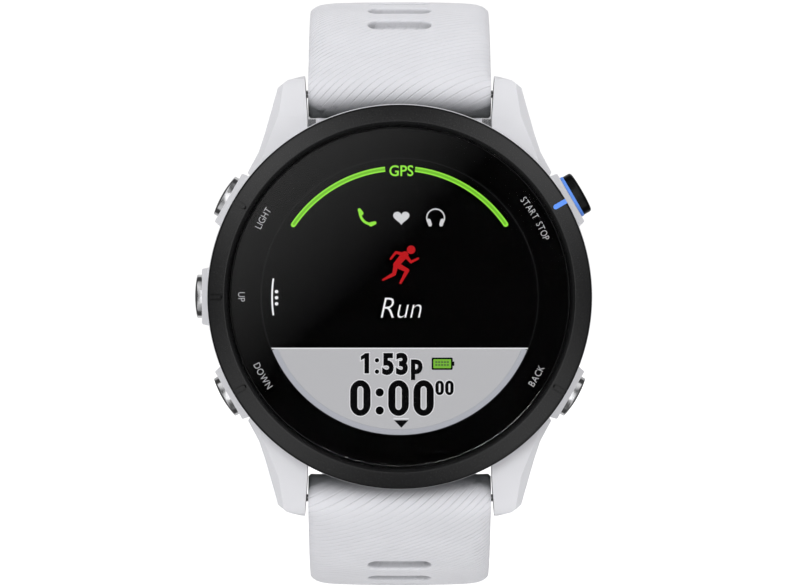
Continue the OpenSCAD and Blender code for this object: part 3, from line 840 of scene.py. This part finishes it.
def make_labels():
    flat = Flat(LABEL_H, LABEL_T)
    label(flat, "LIGHT", BUTTONS["light"], inward=False)
    label(flat, "UP", BUTTONS["up"], inward=True)
    label(flat, "DOWN", BUTTONS["down"], inward=True)
    label(flat, "START STOP", BUTTONS["start"], inward=False, stretch=0.77)
    label(flat, "BACK", BUTTONS["back"], inward=True)
    # The printed labels glow with their pale grey: painted light.
    flat.piece("button_labels", colour(196, 197, 200), "black_trim")


def make_display_edge():
    flat = Flat(SCREEN, 0.004)
    flat.ring(ellipse(0, 0, DISPLAY_R, sides=180), ellipse(0, 0, DISPLAY_R - 0.12, sides=180))
    flat.piece("screen_edge", colour(26, 27, 28))


# ---- buttons ----

CAP_L = 5.2
CAP_W = 2.8
CAP_POWER = 2 / 2.7


def pill_ring(angle, out, inset, drop=0.0, sides=64):
    """A ring round a button cap's outline, inset from it, at a distance out along the button. Its
    long sides bulge slightly and its middle stands proud of the ends by the crown's drop."""
    ring = []
    for i in range(sides):
        a = 2 * pi * i / sides
        along = (CAP_L / 2 - inset) * abs(cos(a)) ** CAP_POWER * (1 if cos(a) > 0 else -1)
        depth = (CAP_W / 2 - inset) * abs(sin(a)) ** CAP_POWER * (1 if sin(a) > 0 else -1)
        ring.append(button_place(angle, (out - drop * (along / (CAP_L / 2)) ** 2, depth, along)))
    return ring


def make_cap(name, base, out, edge, crown, slot):
    """A polished cap: straight skirt, rounded rim and a face crowned along its length."""
    angle = BUTTONS[name]
    rings = [pill_ring(angle, base, 0.06), pill_ring(angle, base + 0.05, 0)]
    for k in range(6):
        a = pi / 2 * k / 5
        rings.append(pill_ring(angle, out - edge + edge * sin(a), edge * (1 - cos(a)), crown * k / 5))
    for inset in (0.7, 0.95, 1.2):
        rings.append(pill_ring(angle, out + 0.05 * (inset - edge), inset, crown))
    verts, faces = loft(rings)
    more, extra = loft(shaft_rings(angle, base))
    faces += [tuple(i + len(verts) for i in face) for face in extra]
    button = name + "_button"
    new_piece(name + "_cap", verts + more, faces, button, slot, replaces=[button], crease=40)


def shaft_rings(angle, base, sides=24):
    """The shaft behind a cap, with the groove that its clip sits in."""
    start = BEZEL_R - 4.8
    stations = [(start, 0.85), (start + 0.1, 0.95), (start + 0.25, 0.95), (start + 0.25, 0.7),
                (start + 0.5, 0.7), (start + 0.5, 0.95), (base + 0.2, 0.95)]
    return [[button_place(angle, (out, r * cos(2 * pi * i / sides), r * sin(2 * pi * i / sides)))
             for i in range(sides)] for out, r in stations]


def make_buttons():
    base = BEZEL_R - 0.1
    for name in SILVER_BUTTONS:
        make_cap(name, base, BEZEL_R + 1.65, 0.34, 0.28, "button_silver")
    make_cap("start", base, BEZEL_R + 2.4, 0.42, 0.12, "start_black")
    inner = BEZEL_R + 0.82
    outer = BEZEL_R + 1.22
    stations = [(inner, 0.3), (inner, -0.02), (inner + 0.04, -0.06), (outer - 0.04, -0.06),
                (outer, -0.02), (outer, 0.3), (inner, 0.3)]
    rings = [pill_ring(BUTTONS["start"], out, inset) for out, inset in stations]
    verts, faces = loft(rings, close_ends=False)
    new_piece("start_accent", verts, faces, "start_button", "accent_blue",
              replaces=["start_accent_ring"], crease=40)


# ---- strap ----

BAR_LOW, BAR_HIGH = node_box("upper_bar_tube")
BAR = ((BAR_LOW.y + BAR_HIGH.y) / 2, (BAR_LOW.z + BAR_HIGH.z) / 2)
ARC = (15, 6.1)
ARC_R = 30
STRAP_T = 2.4
STRAP_W = 21.86
STRAP_END_W = 20
TAPER_L = 33
TAPER_LEAD = 10
HEAD_CORNER = 1.4
BARREL_R = 2.9
END_BARREL_R = 1.9
BUCKLE_HALF_L = 40.5
HOLE_HALF_L = 78.5
HOLE_L = 7.6
HOLE_W = 2.5
HOLE_PITCH = 5
HOLE_RIM = 0.35
HOLE_RINGS = (0.35, 0.2, 0.08, 0)
RECESS_DEPTH = 1.1
RECESS_FILLET = 0.25
RECESS_WALL = 0.07
RECESS_RINGS = (0.35, 0.24, 0.14, 0.06, 0, -0.07, -0.15, -0.32)
FIRST_RECESS = radians(27)
TIP_R = 7
SLOT_W = 3.2
SLOT_L = 4
KEEPER_L = 5
KEEPER_WALL = 0.8
KEEPER_ROOM = 2.9
KEEPER_CORNER = 0.3
FIXED_KEEPER_AT = 33.5
FREE_KEEPER_AT = 24

BAR_TURN = atan2(ARC[0] - BAR[0], BAR[1] - ARC[1])
BAR_UP = Vector((-sin(BAR_TURN), cos(BAR_TURN)))
BAR_ACROSS = Vector((cos(BAR_TURN), sin(BAR_TURN)))
BAR_OUT = hypot(ARC[0] - BAR[0], BAR[1] - ARC[1])
ARC_END = radians(-18)
TAIL_UP = Vector((-sin(ARC_END), cos(ARC_END)))
TAIL_AHEAD = Vector((cos(ARC_END), sin(ARC_END)))
ARC_L = ARC_R * (BAR_TURN - ARC_END)
WRAP_L = BARREL_R * pi / 2

LINE_PITCH = 0.75
LINE_DEPTH = 0.07
LINE_HALF = 0.1
LINE_LAND = 0.17
SPREAD_FROM = 5
SPREAD = 0.05
EDGE_FADE = 0.1
CORNER = 0.3


def along_arc(turn, r):
    """The point (y, z) on the strap's arc at an angle from straight up."""
    return Vector((ARC[0] - r * sin(turn), ARC[1] + r * cos(turn)))


TAIL = along_arc(ARC_END, ARC_R - STRAP_T / 2)


def fade(t):
    """Falls smoothly from 1 at zero to 0 at one."""
    return (1 - t * t) ** 2 if t < 1 else 0.0


class StrapPath:
    """The strap's outer and inner faces in side view, by the distance s along the outer face from
    the bar. The end may close round a second bar."""

    def __init__(self, straight, end_barrel):
        self.straight = straight
        self.end_barrel = end_barrel
        self.start = -WRAP_L
        self.bar2 = ARC_L + straight
        self.end = self.bar2 + (END_BARREL_R * pi / 2 if end_barrel else 0)
        self.closings = [self.start] + ([self.end] if end_barrel else [])

    def face(self, s, side):
        """A point on the outer face (side 1) or the inner face (side -1)."""
        if s < 0:
            a = -s / BARREL_R
            return Vector(BAR) + BARREL_R * (side * cos(a) * BAR_UP - sin(a) * BAR_ACROSS)
        if s <= ARC_L:
            turn = BAR_TURN - s / ARC_R
            if side > 0:
                return along_arc(turn, ARC_R + (BAR_OUT + BARREL_R - ARC_R) * fade(s / 5))
            inner = ARC_R - STRAP_T
            return along_arc(turn, inner - (inner - BAR_OUT + BARREL_R) * fade(s / 4.4))
        if s > self.bar2 and self.end_barrel:
            a = (s - self.bar2) / END_BARREL_R
            centre = TAIL + TAIL_AHEAD * self.straight
            return centre + END_BARREL_R * (side * cos(a) * TAIL_UP + sin(a) * TAIL_AHEAD)
        half = STRAP_T / 2
        if self.end_barrel:
            half += (END_BARREL_R - half) * fade((self.bar2 - s) / 3.4)
        return TAIL + TAIL_AHEAD * (s - ARC_L) + side * half * TAIL_UP

    def width(self, s):
        """The full width at s: it tapers from a little before the straight part and is rounded at
        the corners beside the bar."""
        taper = min(1, max(0, (s - ARC_L + TAPER_LEAD) / (TAPER_L + TAPER_LEAD)))
        corner = min(1, max(0, (self.start + HEAD_CORNER - s) / HEAD_CORNER))
        return STRAP_W + (STRAP_END_W - STRAP_W) * taper - 2 * (1 - sqrt(1 - corner * corner))

    def edge(self, x, s):
        """Distance inwards from the strap's side or its rounded tip."""
        half = self.width(s) / 2
        if self.end_barrel or s < self.end - TIP_R:
            return half - abs(x)
        over = Vector((max(0, abs(x) - half + TIP_R), s - self.end + TIP_R))
        return min(half - abs(x), TIP_R - over.length)

    def closing(self, s):
        """1 where the two faces meet round a bar, falling to 0 nearby."""
        return max(fade(abs(s - end) / 3) for end in self.closings)

    def place(self, x, s, level, side):
        """A point of the strap: level is how far it lies under the outer or the inner face."""
        here = self.face(s, side)
        step = 0.02
        low = max(self.start, s - step)
        high = min(self.end, s + step)
        run = (self.face(high, side) - self.face(low, side)).normalized()
        normal = Vector((-run.y, run.x)) * side
        spot = here - normal * level
        return (x, spot.x, spot.y)


def pill_distance(x, s, centre, grow=0.0):
    """Distance outside an oblong hole lying across the strap."""
    reach = (HOLE_L - HOLE_W) / 2
    return hypot(max(0, abs(x) - reach), s - centre) - HOLE_W / 2 - grow


def pill_outline(centre, grow, sides=14):
    reach = (HOLE_L - HOLE_W) / 2
    r = HOLE_W / 2 + grow
    right = [(reach + r * cos(a), centre + r * sin(a))
             for a in [-pi / 2 + pi * i / sides for i in range(sides + 1)]]
    left = [(-x, 2 * centre - s) for x, s in right]
    return right + left


def crown(edge, s):
    """How far the outer face falls away towards the strap's side, less so round the bar."""
    fall = 0.8 * exp(-max(0, edge) / 0.7) + 0.35 * exp(-max(0, edge) / 4) - 0.025
    return fall * (0.25 + 0.75 * min(1, max(0, (s + 0.6) / 3)))


def rim(distance, r):
    """Fall of a rounded rim, from a distance r outside a hole to the hole itself."""
    if distance >= r:
        return 0.0
    return r - sqrt(max(0, r * r - (r - max(0, distance)) ** 2))


def recess(distance, near):
    """Depth inside and around a blind recess: a steep wall and a filleted floor, under a rim that is
    soft on the far side, where near is 0, and crisp on the side near the bar, where near is 1."""
    lip = HOLE_RIM - 0.23 * near
    if distance >= 0:
        return rim(distance, lip)
    foot = RECESS_DEPTH - RECESS_FILLET
    if distance > -RECESS_WALL:
        return lip + (foot - lip) * distance / -RECESS_WALL
    return RECESS_DEPTH - RECESS_FILLET * max(0, 1 + (distance + RECESS_WALL) / RECESS_FILLET) ** 2


def line_shift(x):
    """How far along the strap an engraved line has run by the time it is at x."""
    return 0.55 * x - 0.0115 * x * x


def spread(u):
    """Spaces the lines wider near the bar."""
    near = max(0, SPREAD_FROM - u)
    return u - SPREAD * near * near


def gather(s):
    """The inverse of spread."""
    near = max(0, SPREAD_FROM - s)
    return s if near == 0 else SPREAD_FROM - (sqrt(1 + 4 * SPREAD * near) - 1) / (2 * SPREAD)


def groove(x, s):
    """Depth of the engraved lines at a point."""
    phase = (gather(s) - line_shift(x)) / LINE_PITCH
    off = abs(phase - round(phase))
    if off < LINE_HALF:
        return LINE_DEPTH * (1 - off / LINE_HALF)
    return 0.0


BLOCK = 4000


def inside(points, loops):
    """Which points lie inside the loops, counted even-odd."""
    p = np.array(points, float)
    result = np.zeros(len(p), bool)
    for loop in loops:
        a = np.array(loop, float)
        b = np.roll(a, -1, axis=0)
        run = np.where(b[:, 1] == a[:, 1], 1, b[:, 1] - a[:, 1])
        for start in range(0, len(p), BLOCK):
            part = slice(start, start + BLOCK)
            x = p[part, 0][:, None]
            y = p[part, 1][:, None]
            crosses = (a[:, 1] > y) != (b[:, 1] > y)
            at = a[:, 0] + (y - a[:, 1]) * (b[:, 0] - a[:, 0]) / run
            result[part] ^= (np.sum(crosses & (x < at), axis=1) % 2).astype(bool)
    return result


def triangulate(points, edges, loops):
    """Triangles of the region inside the loops that keep the given edges."""
    coords, _, faces, *_ = delaunay_2d_cdt([Vector(p) for p in points], edges, [], 0, 1e-6, False)
    centres = [sum((coords[i] for i in f), Vector((0, 0))) / len(f) for f in faces]
    keep = inside([(c.x, c.y) for c in centres], loops)
    return [(c.x, c.y) for c in coords], [tuple(f) for f, k in zip(faces, keep) if k]


def add_loop(points, edges, loop):
    base = len(points)
    points += loop
    edges += [(base + i, base + (i + 1) % len(loop)) for i in range(len(loop))]


def strap_outline(path):
    """The strap's flat outline in (x, s), with the tongue's slot where it has one."""
    side = []
    stop = path.end if path.end_barrel else path.end - TIP_R
    count = ceil((stop - path.start) / 0.6)
    for i in range(count + 1):
        s = path.start + (stop - path.start) * i / count
        side.append((path.width(s) / 2, s))
    if path.end_barrel:
        half = SLOT_W / 2
        base = path.bar2 - SLOT_L
        side += [(half, path.end - (path.end - base) * i / 12) for i in range(12)]
        side += [(half, base + 0.5), (half - 0.5, base)]
    else:
        half = path.width(path.end) / 2
        side += [(half - TIP_R + TIP_R * cos(a), path.end - TIP_R + TIP_R * sin(a))
                 for a in [pi / 2 * i / 20 for i in range(1, 21)]]
    return side + [(-x, s) for x, s in reversed(side)]


def line_rows(path):
    """Points in rows that follow the engraved lines, and the edges along the rows."""
    near_edge = [1 - e / (STRAP_W / 2) for e in (0.1, 0.3, 0.55, 0.95)]
    columns = sorted([i / 15 for i in range(-14, 15)] + near_edge + [-c for c in near_edge])
    first = int((gather(path.start) - line_shift(STRAP_W / 2)) / LINE_PITCH) - 1
    last = int((path.end - line_shift(-STRAP_W / 2)) / LINE_PITCH) + 1
    points = []
    edges = []
    for k in range(first, last + 1):
        for part in (0, LINE_HALF, LINE_LAND, 1 - LINE_LAND, 1 - LINE_HALF):
            row = (k + part) * LINE_PITCH
            before = None
            for c in columns:
                s = spread(row + line_shift(c * STRAP_W / 2))
                x = c * path.width(s) / 2
                s = spread(row + line_shift(x))
                if not path.start - 1.5 < s < path.end + 1.5:
                    before = None
                    continue
                points.append((x, s))
                if before is not None:
                    edges.append((before, len(points) - 1))
                before = len(points) - 1
    return points, edges


def outer_depth(path, recesses, holes, x, s):
    """How far the finished outer face lies under the plain one at a point."""
    edge = path.edge(x, s)
    level = crown(edge, s) + groove(x, s) * min(1, max(0, edge / EDGE_FADE)) * (1 - path.closing(s))
    for centre in recesses:
        if abs(s - centre) < HOLE_W:
            near = min(1, max(0, 0.5 - (s - centre) / HOLE_W))
            level += recess(pill_distance(x, s, centre), near)
    for centre in holes:
        if abs(s - centre) < HOLE_W:
            level += rim(pill_distance(x, s, centre), HOLE_RIM)
    if path.end_barrel and s > path.bar2 - SLOT_L - 0.5:
        level += rim(max(abs(x) - SLOT_W / 2, path.bar2 - SLOT_L - s), 0.3) * (1 - path.closing(s))
    return level


def outer_sheet(path, recesses, holes):
    """Flat points (x, s) and triangles of the outer face."""
    outline = strap_outline(path)
    points, edges = line_rows(path)
    add_loop(points, edges, outline)
    for centres, rings in ((recesses, RECESS_RINGS), (holes, HOLE_RINGS)):
        for centre in centres:
            for grow in rings:
                add_loop(points, edges, pill_outline(centre, grow))
    coords, faces = triangulate(points, edges, [outline] + [pill_outline(c, 0) for c in holes])
    used = sorted({i for f in faces for i in f})
    index = {old: new for new, old in enumerate(used)}
    return [coords[i] for i in used], [tuple(index[i] for i in f) for f in faces]


def inner_sheet(path, holes, border, rim_at):
    """Flat points and triangles of the inner face, inside the border's points in rim_at. Its own
    points keep clear of the sides, the holes and the tongue's slot."""
    clear = 0.8
    place_of = {i: k for k, i in enumerate(rim_at)}
    points = list(rim_at.values())
    edges = [(place_of[a], place_of[b]) for a, b in border]
    rows = int((path.end - path.start) / 0.9)
    for j in range(1, rows):
        s = path.start + (path.end - path.start) * j / rows
        for i in range(-5, 6):
            x = i * path.width(s) / 11.6
            near = path.edge(x, s) < clear or any(pill_distance(x, s, c) < clear for c in holes)
            slot = (path.end_barrel and s > path.bar2 - SLOT_L - clear
                    and abs(x) < SLOT_W / 2 + clear)
            if not near and not slot:
                points.append((x, s))
    return triangulate(points, edges, chains(border, rim_at))


def make_strap(name, body, path, recesses, holes, flip):
    """One strap half: an engraved outer sheet, a plain inner sheet and rounded walls between."""
    flat, faces = outer_sheet(path, recesses, holes)
    verts = [path.place(x, s, outer_depth(path, recesses, holes, x, s), 1) for x, s in flat]
    border = border_edges(faces)
    wall = {}
    low = {}
    rim_at = {}
    for i, normal in border_normals(flat, border).items():
        x, s = flat[i]
        if min(abs(s - end) for end in path.closings) < 1e-4:
            wall[i] = i
            low[i] = i
            rim_at[i] = (x, s)
            continue
        wall[i] = len(verts)
        verts.append(path.place(x, s, CORNER, -1))
        inner = Vector((x, s)) - normal * CORNER
        low[i] = len(verts)
        verts.append(path.place(inner.x, inner.y, 0, -1))
        rim_at[i] = (inner.x, inner.y)
    for a, b in border:
        faces.append((b, a, wall[a], wall[b]))
        faces.append((wall[b], wall[a], low[a], low[b]))

    known = {(round(x, 4), round(s, 4)): low[i] for i, (x, s) in rim_at.items()}
    coords, under = inner_sheet(path, holes, border, rim_at)
    ids = []
    for x, s in coords:
        key = (round(x, 4), round(s, 4))
        if key not in known:
            known[key] = len(verts)
            verts.append(path.place(x, s, crown(path.edge(x, s), s) * path.closing(s), -1))
        ids.append(known[key])
    faces += [tuple(ids[i] for i in reversed(f)) for f in under]
    faces = [tuple(dict.fromkeys(f)) for f in faces if len(set(f)) > 2]
    if flip:
        verts = [(-x, y, -z) for x, y, z in verts]
    return new_piece(name, verts, faces, body, "strap", replaces=[body], crease=50)


def border_edges(faces):
    """Edges that only one face uses, in that face's direction."""
    seen = {}
    for f in faces:
        for a, b in zip(f, f[1:] + f[:1]):
            seen[(a, b)] = True
    return [(a, b) for a, b in seen if (b, a) not in seen]


def border_normals(flat, border):
    """The outward direction at each border point of a flat region."""
    normals = {}
    for a, b in border:
        run = (Vector(flat[b]) - Vector(flat[a])).normalized()
        out = Vector((run.y, -run.x))
        for i in (a, b):
            normals[i] = normals.get(i, Vector((0, 0))) + out
    return {i: n.normalized() for i, n in normals.items()}


def chains(border, at):
    """The closed loops of points that the border edges make."""
    after = dict(border)
    loops = []
    while after:
        start, here = next(iter(after.items()))
        del after[start]
        loop = [at[start]]
        while here != start:
            loop.append(at[here])
            here = after.pop(here)
        loops.append(loop)
    return loops


def head_cut(flip):
    """The slot for the bar's knob, open on the strap's inner side, as a closed prism."""
    rings = []
    for x in (5.9, 9.5):
        ring = []
        for side, down in ((-0.8, 0.2), (0.8, 0.2), (0.8, 3.6), (-0.8, 3.6)):
            spot = Vector(BAR) + BAR_ACROSS * side - BAR_UP * down
            ring.append((x, spot.x, -spot.y if flip else spot.y))
        rings.append(ring)
    return loft(rings)


def make_keeper(name, body, at, half_inner, under, replaces):
    """A soft loop round both strap halves with rounded corners and edges."""
    half = KEEPER_L / 2
    wall = rounded([(-half, 0), (half, 0), (half, KEEPER_WALL), (-half, KEEPER_WALL)], 0.3, 3)
    low = -STRAP_T / 2 - under
    high = STRAP_T / 2 + KEEPER_ROOM
    rings = []
    for cx, cz, start in ((1, 1, 0), (-1, 1, 90), (-1, -1, 180), (1, -1, 270)):
        x = cx * (half_inner - KEEPER_CORNER)
        z = high - KEEPER_CORNER if cz > 0 else low + KEEPER_CORNER
        for i in range(9):
            a = radians(start + 90 * i / 8)
            ring = []
            for along, thick in wall:
                r = KEEPER_CORNER + thick
                spot = TAIL + TAIL_AHEAD * (at + along) + TAIL_UP * (z + r * sin(a))
                ring.append((x + r * cos(a), spot.x, spot.y))
            rings.append(ring)
    new_piece(name, *loft(rings + rings[:1], close_ends=False), body, "strap", replaces=replaces)


def make_straps():
    first = ARC_R * (BAR_TURN - FIRST_RECESS)
    recesses = [first + i * HOLE_PITCH for i in range(5)]
    holes = [ARC_L + i * HOLE_PITCH for i in range(1, 13)]
    upper = make_strap("strap_buckle_half", "upper_strap", StrapPath(BUCKLE_HALF_L, True),
                       recesses[:4], [], False)
    cut_with(upper, *head_cut(False))
    lower = make_strap("strap_hole_half", "lower_strap", StrapPath(HOLE_HALF_L, False),
                       recesses, holes, True)
    cut_with(lower, *head_cut(True))
    make_keeper("keeper_loop_fixed", "upper_strap", FIXED_KEEPER_AT, STRAP_END_W / 2 + 0.15, 0.05,
                ["keeper_fixed"])
    make_keeper("keeper_loop_free", "free_keeper", FREE_KEEPER_AT, 10.5, 0.15, ["keeper_free"])


# ---- CAD pieces that keep their shape ----


def soften(name, width, segments=3, angle=30):
    """Rounds a CAD piece's edges by modifiers; its mesh stays as it is."""
    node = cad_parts[name]
    weld = node.modifiers.new("weld", "WELD")
    weld.merge_threshold = 0.002 * MM
    flat = node.modifiers.new("flat", "DECIMATE")
    flat.decimate_type = "DISSOLVE"
    flat.angle_limit = radians(0.4)
    bevel = node.modifiers.new("bevel", "BEVEL")
    bevel.width = width * MM
    bevel.segments = segments
    bevel.limit_method = "ANGLE"
    bevel.angle_limit = radians(angle)
    bevel.miter_outer = "MITER_ARC"
    facets = node.modifiers.new("facets", "WEIGHTED_NORMAL")
    facets.weight = 100
    facets.keep_sharp = True
    node.data.shade_smooth()


def finish_nodes():
    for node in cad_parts.values():
        slot = node.data.materials[0].name
        node.data.materials[0] = finishes[slot]
    soften("case_body", 0.09, 2)
    soften("rear_cover", 0.12, 2)
    soften("buckle_frame", 0.35, 4)
    soften("buckle_tongue", 0.25, 3)
    soften("charge_port", 0.08, 2)


def closing_spring(name, body):
    """A coil spring, copied onto the body that holds its fixed end."""
    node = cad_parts[name]
    coil = bpy.data.objects.new(name + "_coil", node.data.copy())
    scene.collection.objects.link(coil)
    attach(coil, body)
    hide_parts(name)
    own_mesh(coil)


def make_springs():
    for name, angle in BUTTONS.items():
        closing_spring(name + "_spring", "case")
    for half in ("upper", "lower"):
        closing_spring(half + "_bar_spring", half + "_strap")


# ---- stage ----

SWING_ROOM = 85
GLASS_GLOW = 0.6
RING_LIGHT = 1.7
WORLD_DARK = 0.1
WORLD_LIGHT = 1.1
SIDES = 0.06
WORLD_BACK = 0.8
WORLD_SOFT = 0.55


def stage_sheet(name, corners, material, camera_sees=True):
    mesh = bpy.data.meshes.new(name)
    mesh.from_pydata([Vector(v) * MM for v in corners], [], [(0, 1, 2, 3)])
    mesh.shade_smooth()
    sheet = bpy.data.objects.new(name, mesh)
    scene.collection.objects.link(sheet)
    mesh.materials.append(material)
    sheet.visible_camera = camera_sees
    return sheet


def make_floor():
    """A pale floor, clear of the lower strap half at the end of its swing."""
    size = 4000
    z = STRAP_FLOOR - SWING_ROOM
    paper = surface("paper", colour(250, 250, 251), 0.7, 0.004, 2, 0.01, Emission_Strength=0.6,
                    Emission_Color=(1, 1, 1, 1))
    corners = [(-size, -size, z), (size, -size, z), (size, size, z), (-size, size, z)]
    floor = stage_sheet("floor", corners, paper)
    floor.visible_glossy = False
    floor.visible_transmission = False
    floor.visible_diffuse = False
    floor.visible_shadow = False


class Sums:
    """Builds small sums out of math nodes."""

    def __init__(self, tree):
        self.tree = tree

    def feed(self, socket, value):
        if isinstance(value, (int, float)):
            socket.default_value = value
        else:
            self.tree.links.new(value, socket)

    def math(self, operation, a, b=0.0):
        node = self.tree.nodes.new("ShaderNodeMath")
        node.operation = operation
        self.feed(node.inputs[0], a)
        self.feed(node.inputs[1], b)
        return node.outputs["Value"]

    def mapped(self, value, low, high, start=0.0, end=1.0):
        node = self.tree.nodes.new("ShaderNodeMapRange")
        for key, number in (("Value", value), ("To Min", low), ("To Max", high), ("From Min", start),
                            ("From Max", end)):
            self.feed(node.inputs[key], number)
        return node.outputs["Result"]


def card_material():
    """A black card with a faint diagonal glow for the glass and a white ring for the caps."""
    n = Nodes("front_card")
    sums = Sums(n.tree)
    split = n.add("ShaderNodeSeparateXYZ")
    n.link(n.place, split.inputs["Vector"])
    x = split.outputs["X"]
    z = sums.math("ADD", split.outputs["Z"], 0.011)
    glow = sums.mapped(sums.math("SUBTRACT", z, x), 0.0, GLASS_GLOW, 0.012, 0.1)
    far = sums.math("SQRT", sums.math("ADD", sums.math("MULTIPLY", x, x), sums.math("MULTIPLY", z, z)))
    level = sums.math("LESS_THAN", sums.math("ABSOLUTE", z), 0.125)
    ring = sums.math("MULTIPLY", level, RING_LIGHT)
    n.link(sums.mapped(far, glow, ring, 0.0475, 0.0495), n.shader.inputs["Emission Strength"])
    n.set(Emission_Color=(1, 1, 1, 1), Base_Color=(0, 0, 0, 1), Specular_IOR_Level=0)
    return n.material


def make_cards():
    """The card behind the camera that the flat glass and the caps' front sides mirror."""
    y = -FRONT - VIEW_DISTANCE - 150
    half = 150
    corners = [(-half, y, -half), (half, y, -half), (half, y, half), (-half, y, half)]
    card = stage_sheet("front_card", corners, card_material(), camera_sees=False)
    card.visible_diffuse = False


def softbox(name, place, size, power, target=(0, 0, 0)):
    data = bpy.data.lights.new(name, "AREA")
    data.shape = "RECTANGLE"
    data.size = size[0] * MM
    data.size_y = size[1] * MM
    data.energy = power
    light = bpy.data.objects.new(name, data)
    scene.collection.objects.link(light)
    light.location = Vector(place) * MM
    light.rotation_euler = (Vector(target) * MM - light.location).to_track_quat("-Z", "Y").to_euler()
    light.visible_camera = False
    light.visible_glossy = False


def make_world():
    """A white studio that depends on the ray. The camera sees plain white, matt parts are lit
    evenly and a little more from behind, and polished parts mirror light diagonal quarters in
    front, dark sides and a light back."""
    world = bpy.data.worlds.new("studio")
    world.use_nodes = True
    tree = world.node_tree
    sums = Sums(tree)
    way = tree.nodes.new("ShaderNodeSeparateXYZ")
    tree.links.new(tree.nodes.new("ShaderNodeTexCoord").outputs["Generated"], way.inputs["Vector"])
    x, y, z = (way.outputs[key] for key in "XYZ")
    flat = sums.math("ADD", sums.math("MULTIPLY", z, z), 0.004)
    across = sums.math("ADD", sums.math("MULTIPLY", x, x), flat)
    quarter = sums.math("DIVIDE", sums.math("MULTIPLY", sums.math("MULTIPLY", x, z), 2.0), across)
    bright = sums.mapped(z, WORLD_LIGHT * 0.68, WORLD_LIGHT, -0.2, 0.2)
    front = sums.mapped(sums.math("MULTIPLY", quarter, quarter), WORLD_DARK, bright)
    high = sums.mapped(sums.math("ABSOLUTE", z), SIDES, WORLD_BACK, 0.5, 0.8)
    high = sums.mapped(y, SIDES, high, -0.1, 0.3)
    sides = sums.mapped(y, high, WORLD_BACK, 0.5, 0.7)
    mirrored = sums.mapped(y, front, sides, -0.78, -0.68)
    soft = sums.mapped(z, WORLD_SOFT * 0.85, WORLD_SOFT * 1.1, -0.6, 0.6)
    soft = sums.mapped(y, soft, WORLD_SOFT * 1.7, 0.2, 0.8)
    ray = tree.nodes.new("ShaderNodeLightPath")
    light = sums.mapped(ray.outputs["Is Glossy Ray"], soft, mirrored)
    light = sums.mapped(ray.outputs["Is Transmission Ray"], light, 0.03)
    backdrop = tree.nodes["Background"]
    backdrop.inputs["Color"].default_value = (1, 1, 1, 1)
    tree.links.new(sums.mapped(ray.outputs["Is Camera Ray"], light, 1.05), backdrop.inputs["Strength"])
    scene.world = world


def make_light():
    make_world()
    softbox("front", (-60, -760, 160), (420, 300), 3.4)
    softbox("top", (0, -380, 620), (700, 400), 0.9)
    softbox("low", (0, -380, -560), (700, 400), 1.5)
    scene.view_settings.view_transform = "Standard"


make_camera()
finishes = make_finishes()
make_bezel()
make_lens()
make_lens_print()
make_display_edge()
make_status_row()
make_status_icons()
make_runner()
make_title()
make_time_zone()
make_clock()
make_labels()
make_buttons()
make_straps()
finish_nodes()
make_springs()
make_floor()
make_cards()
make_light()
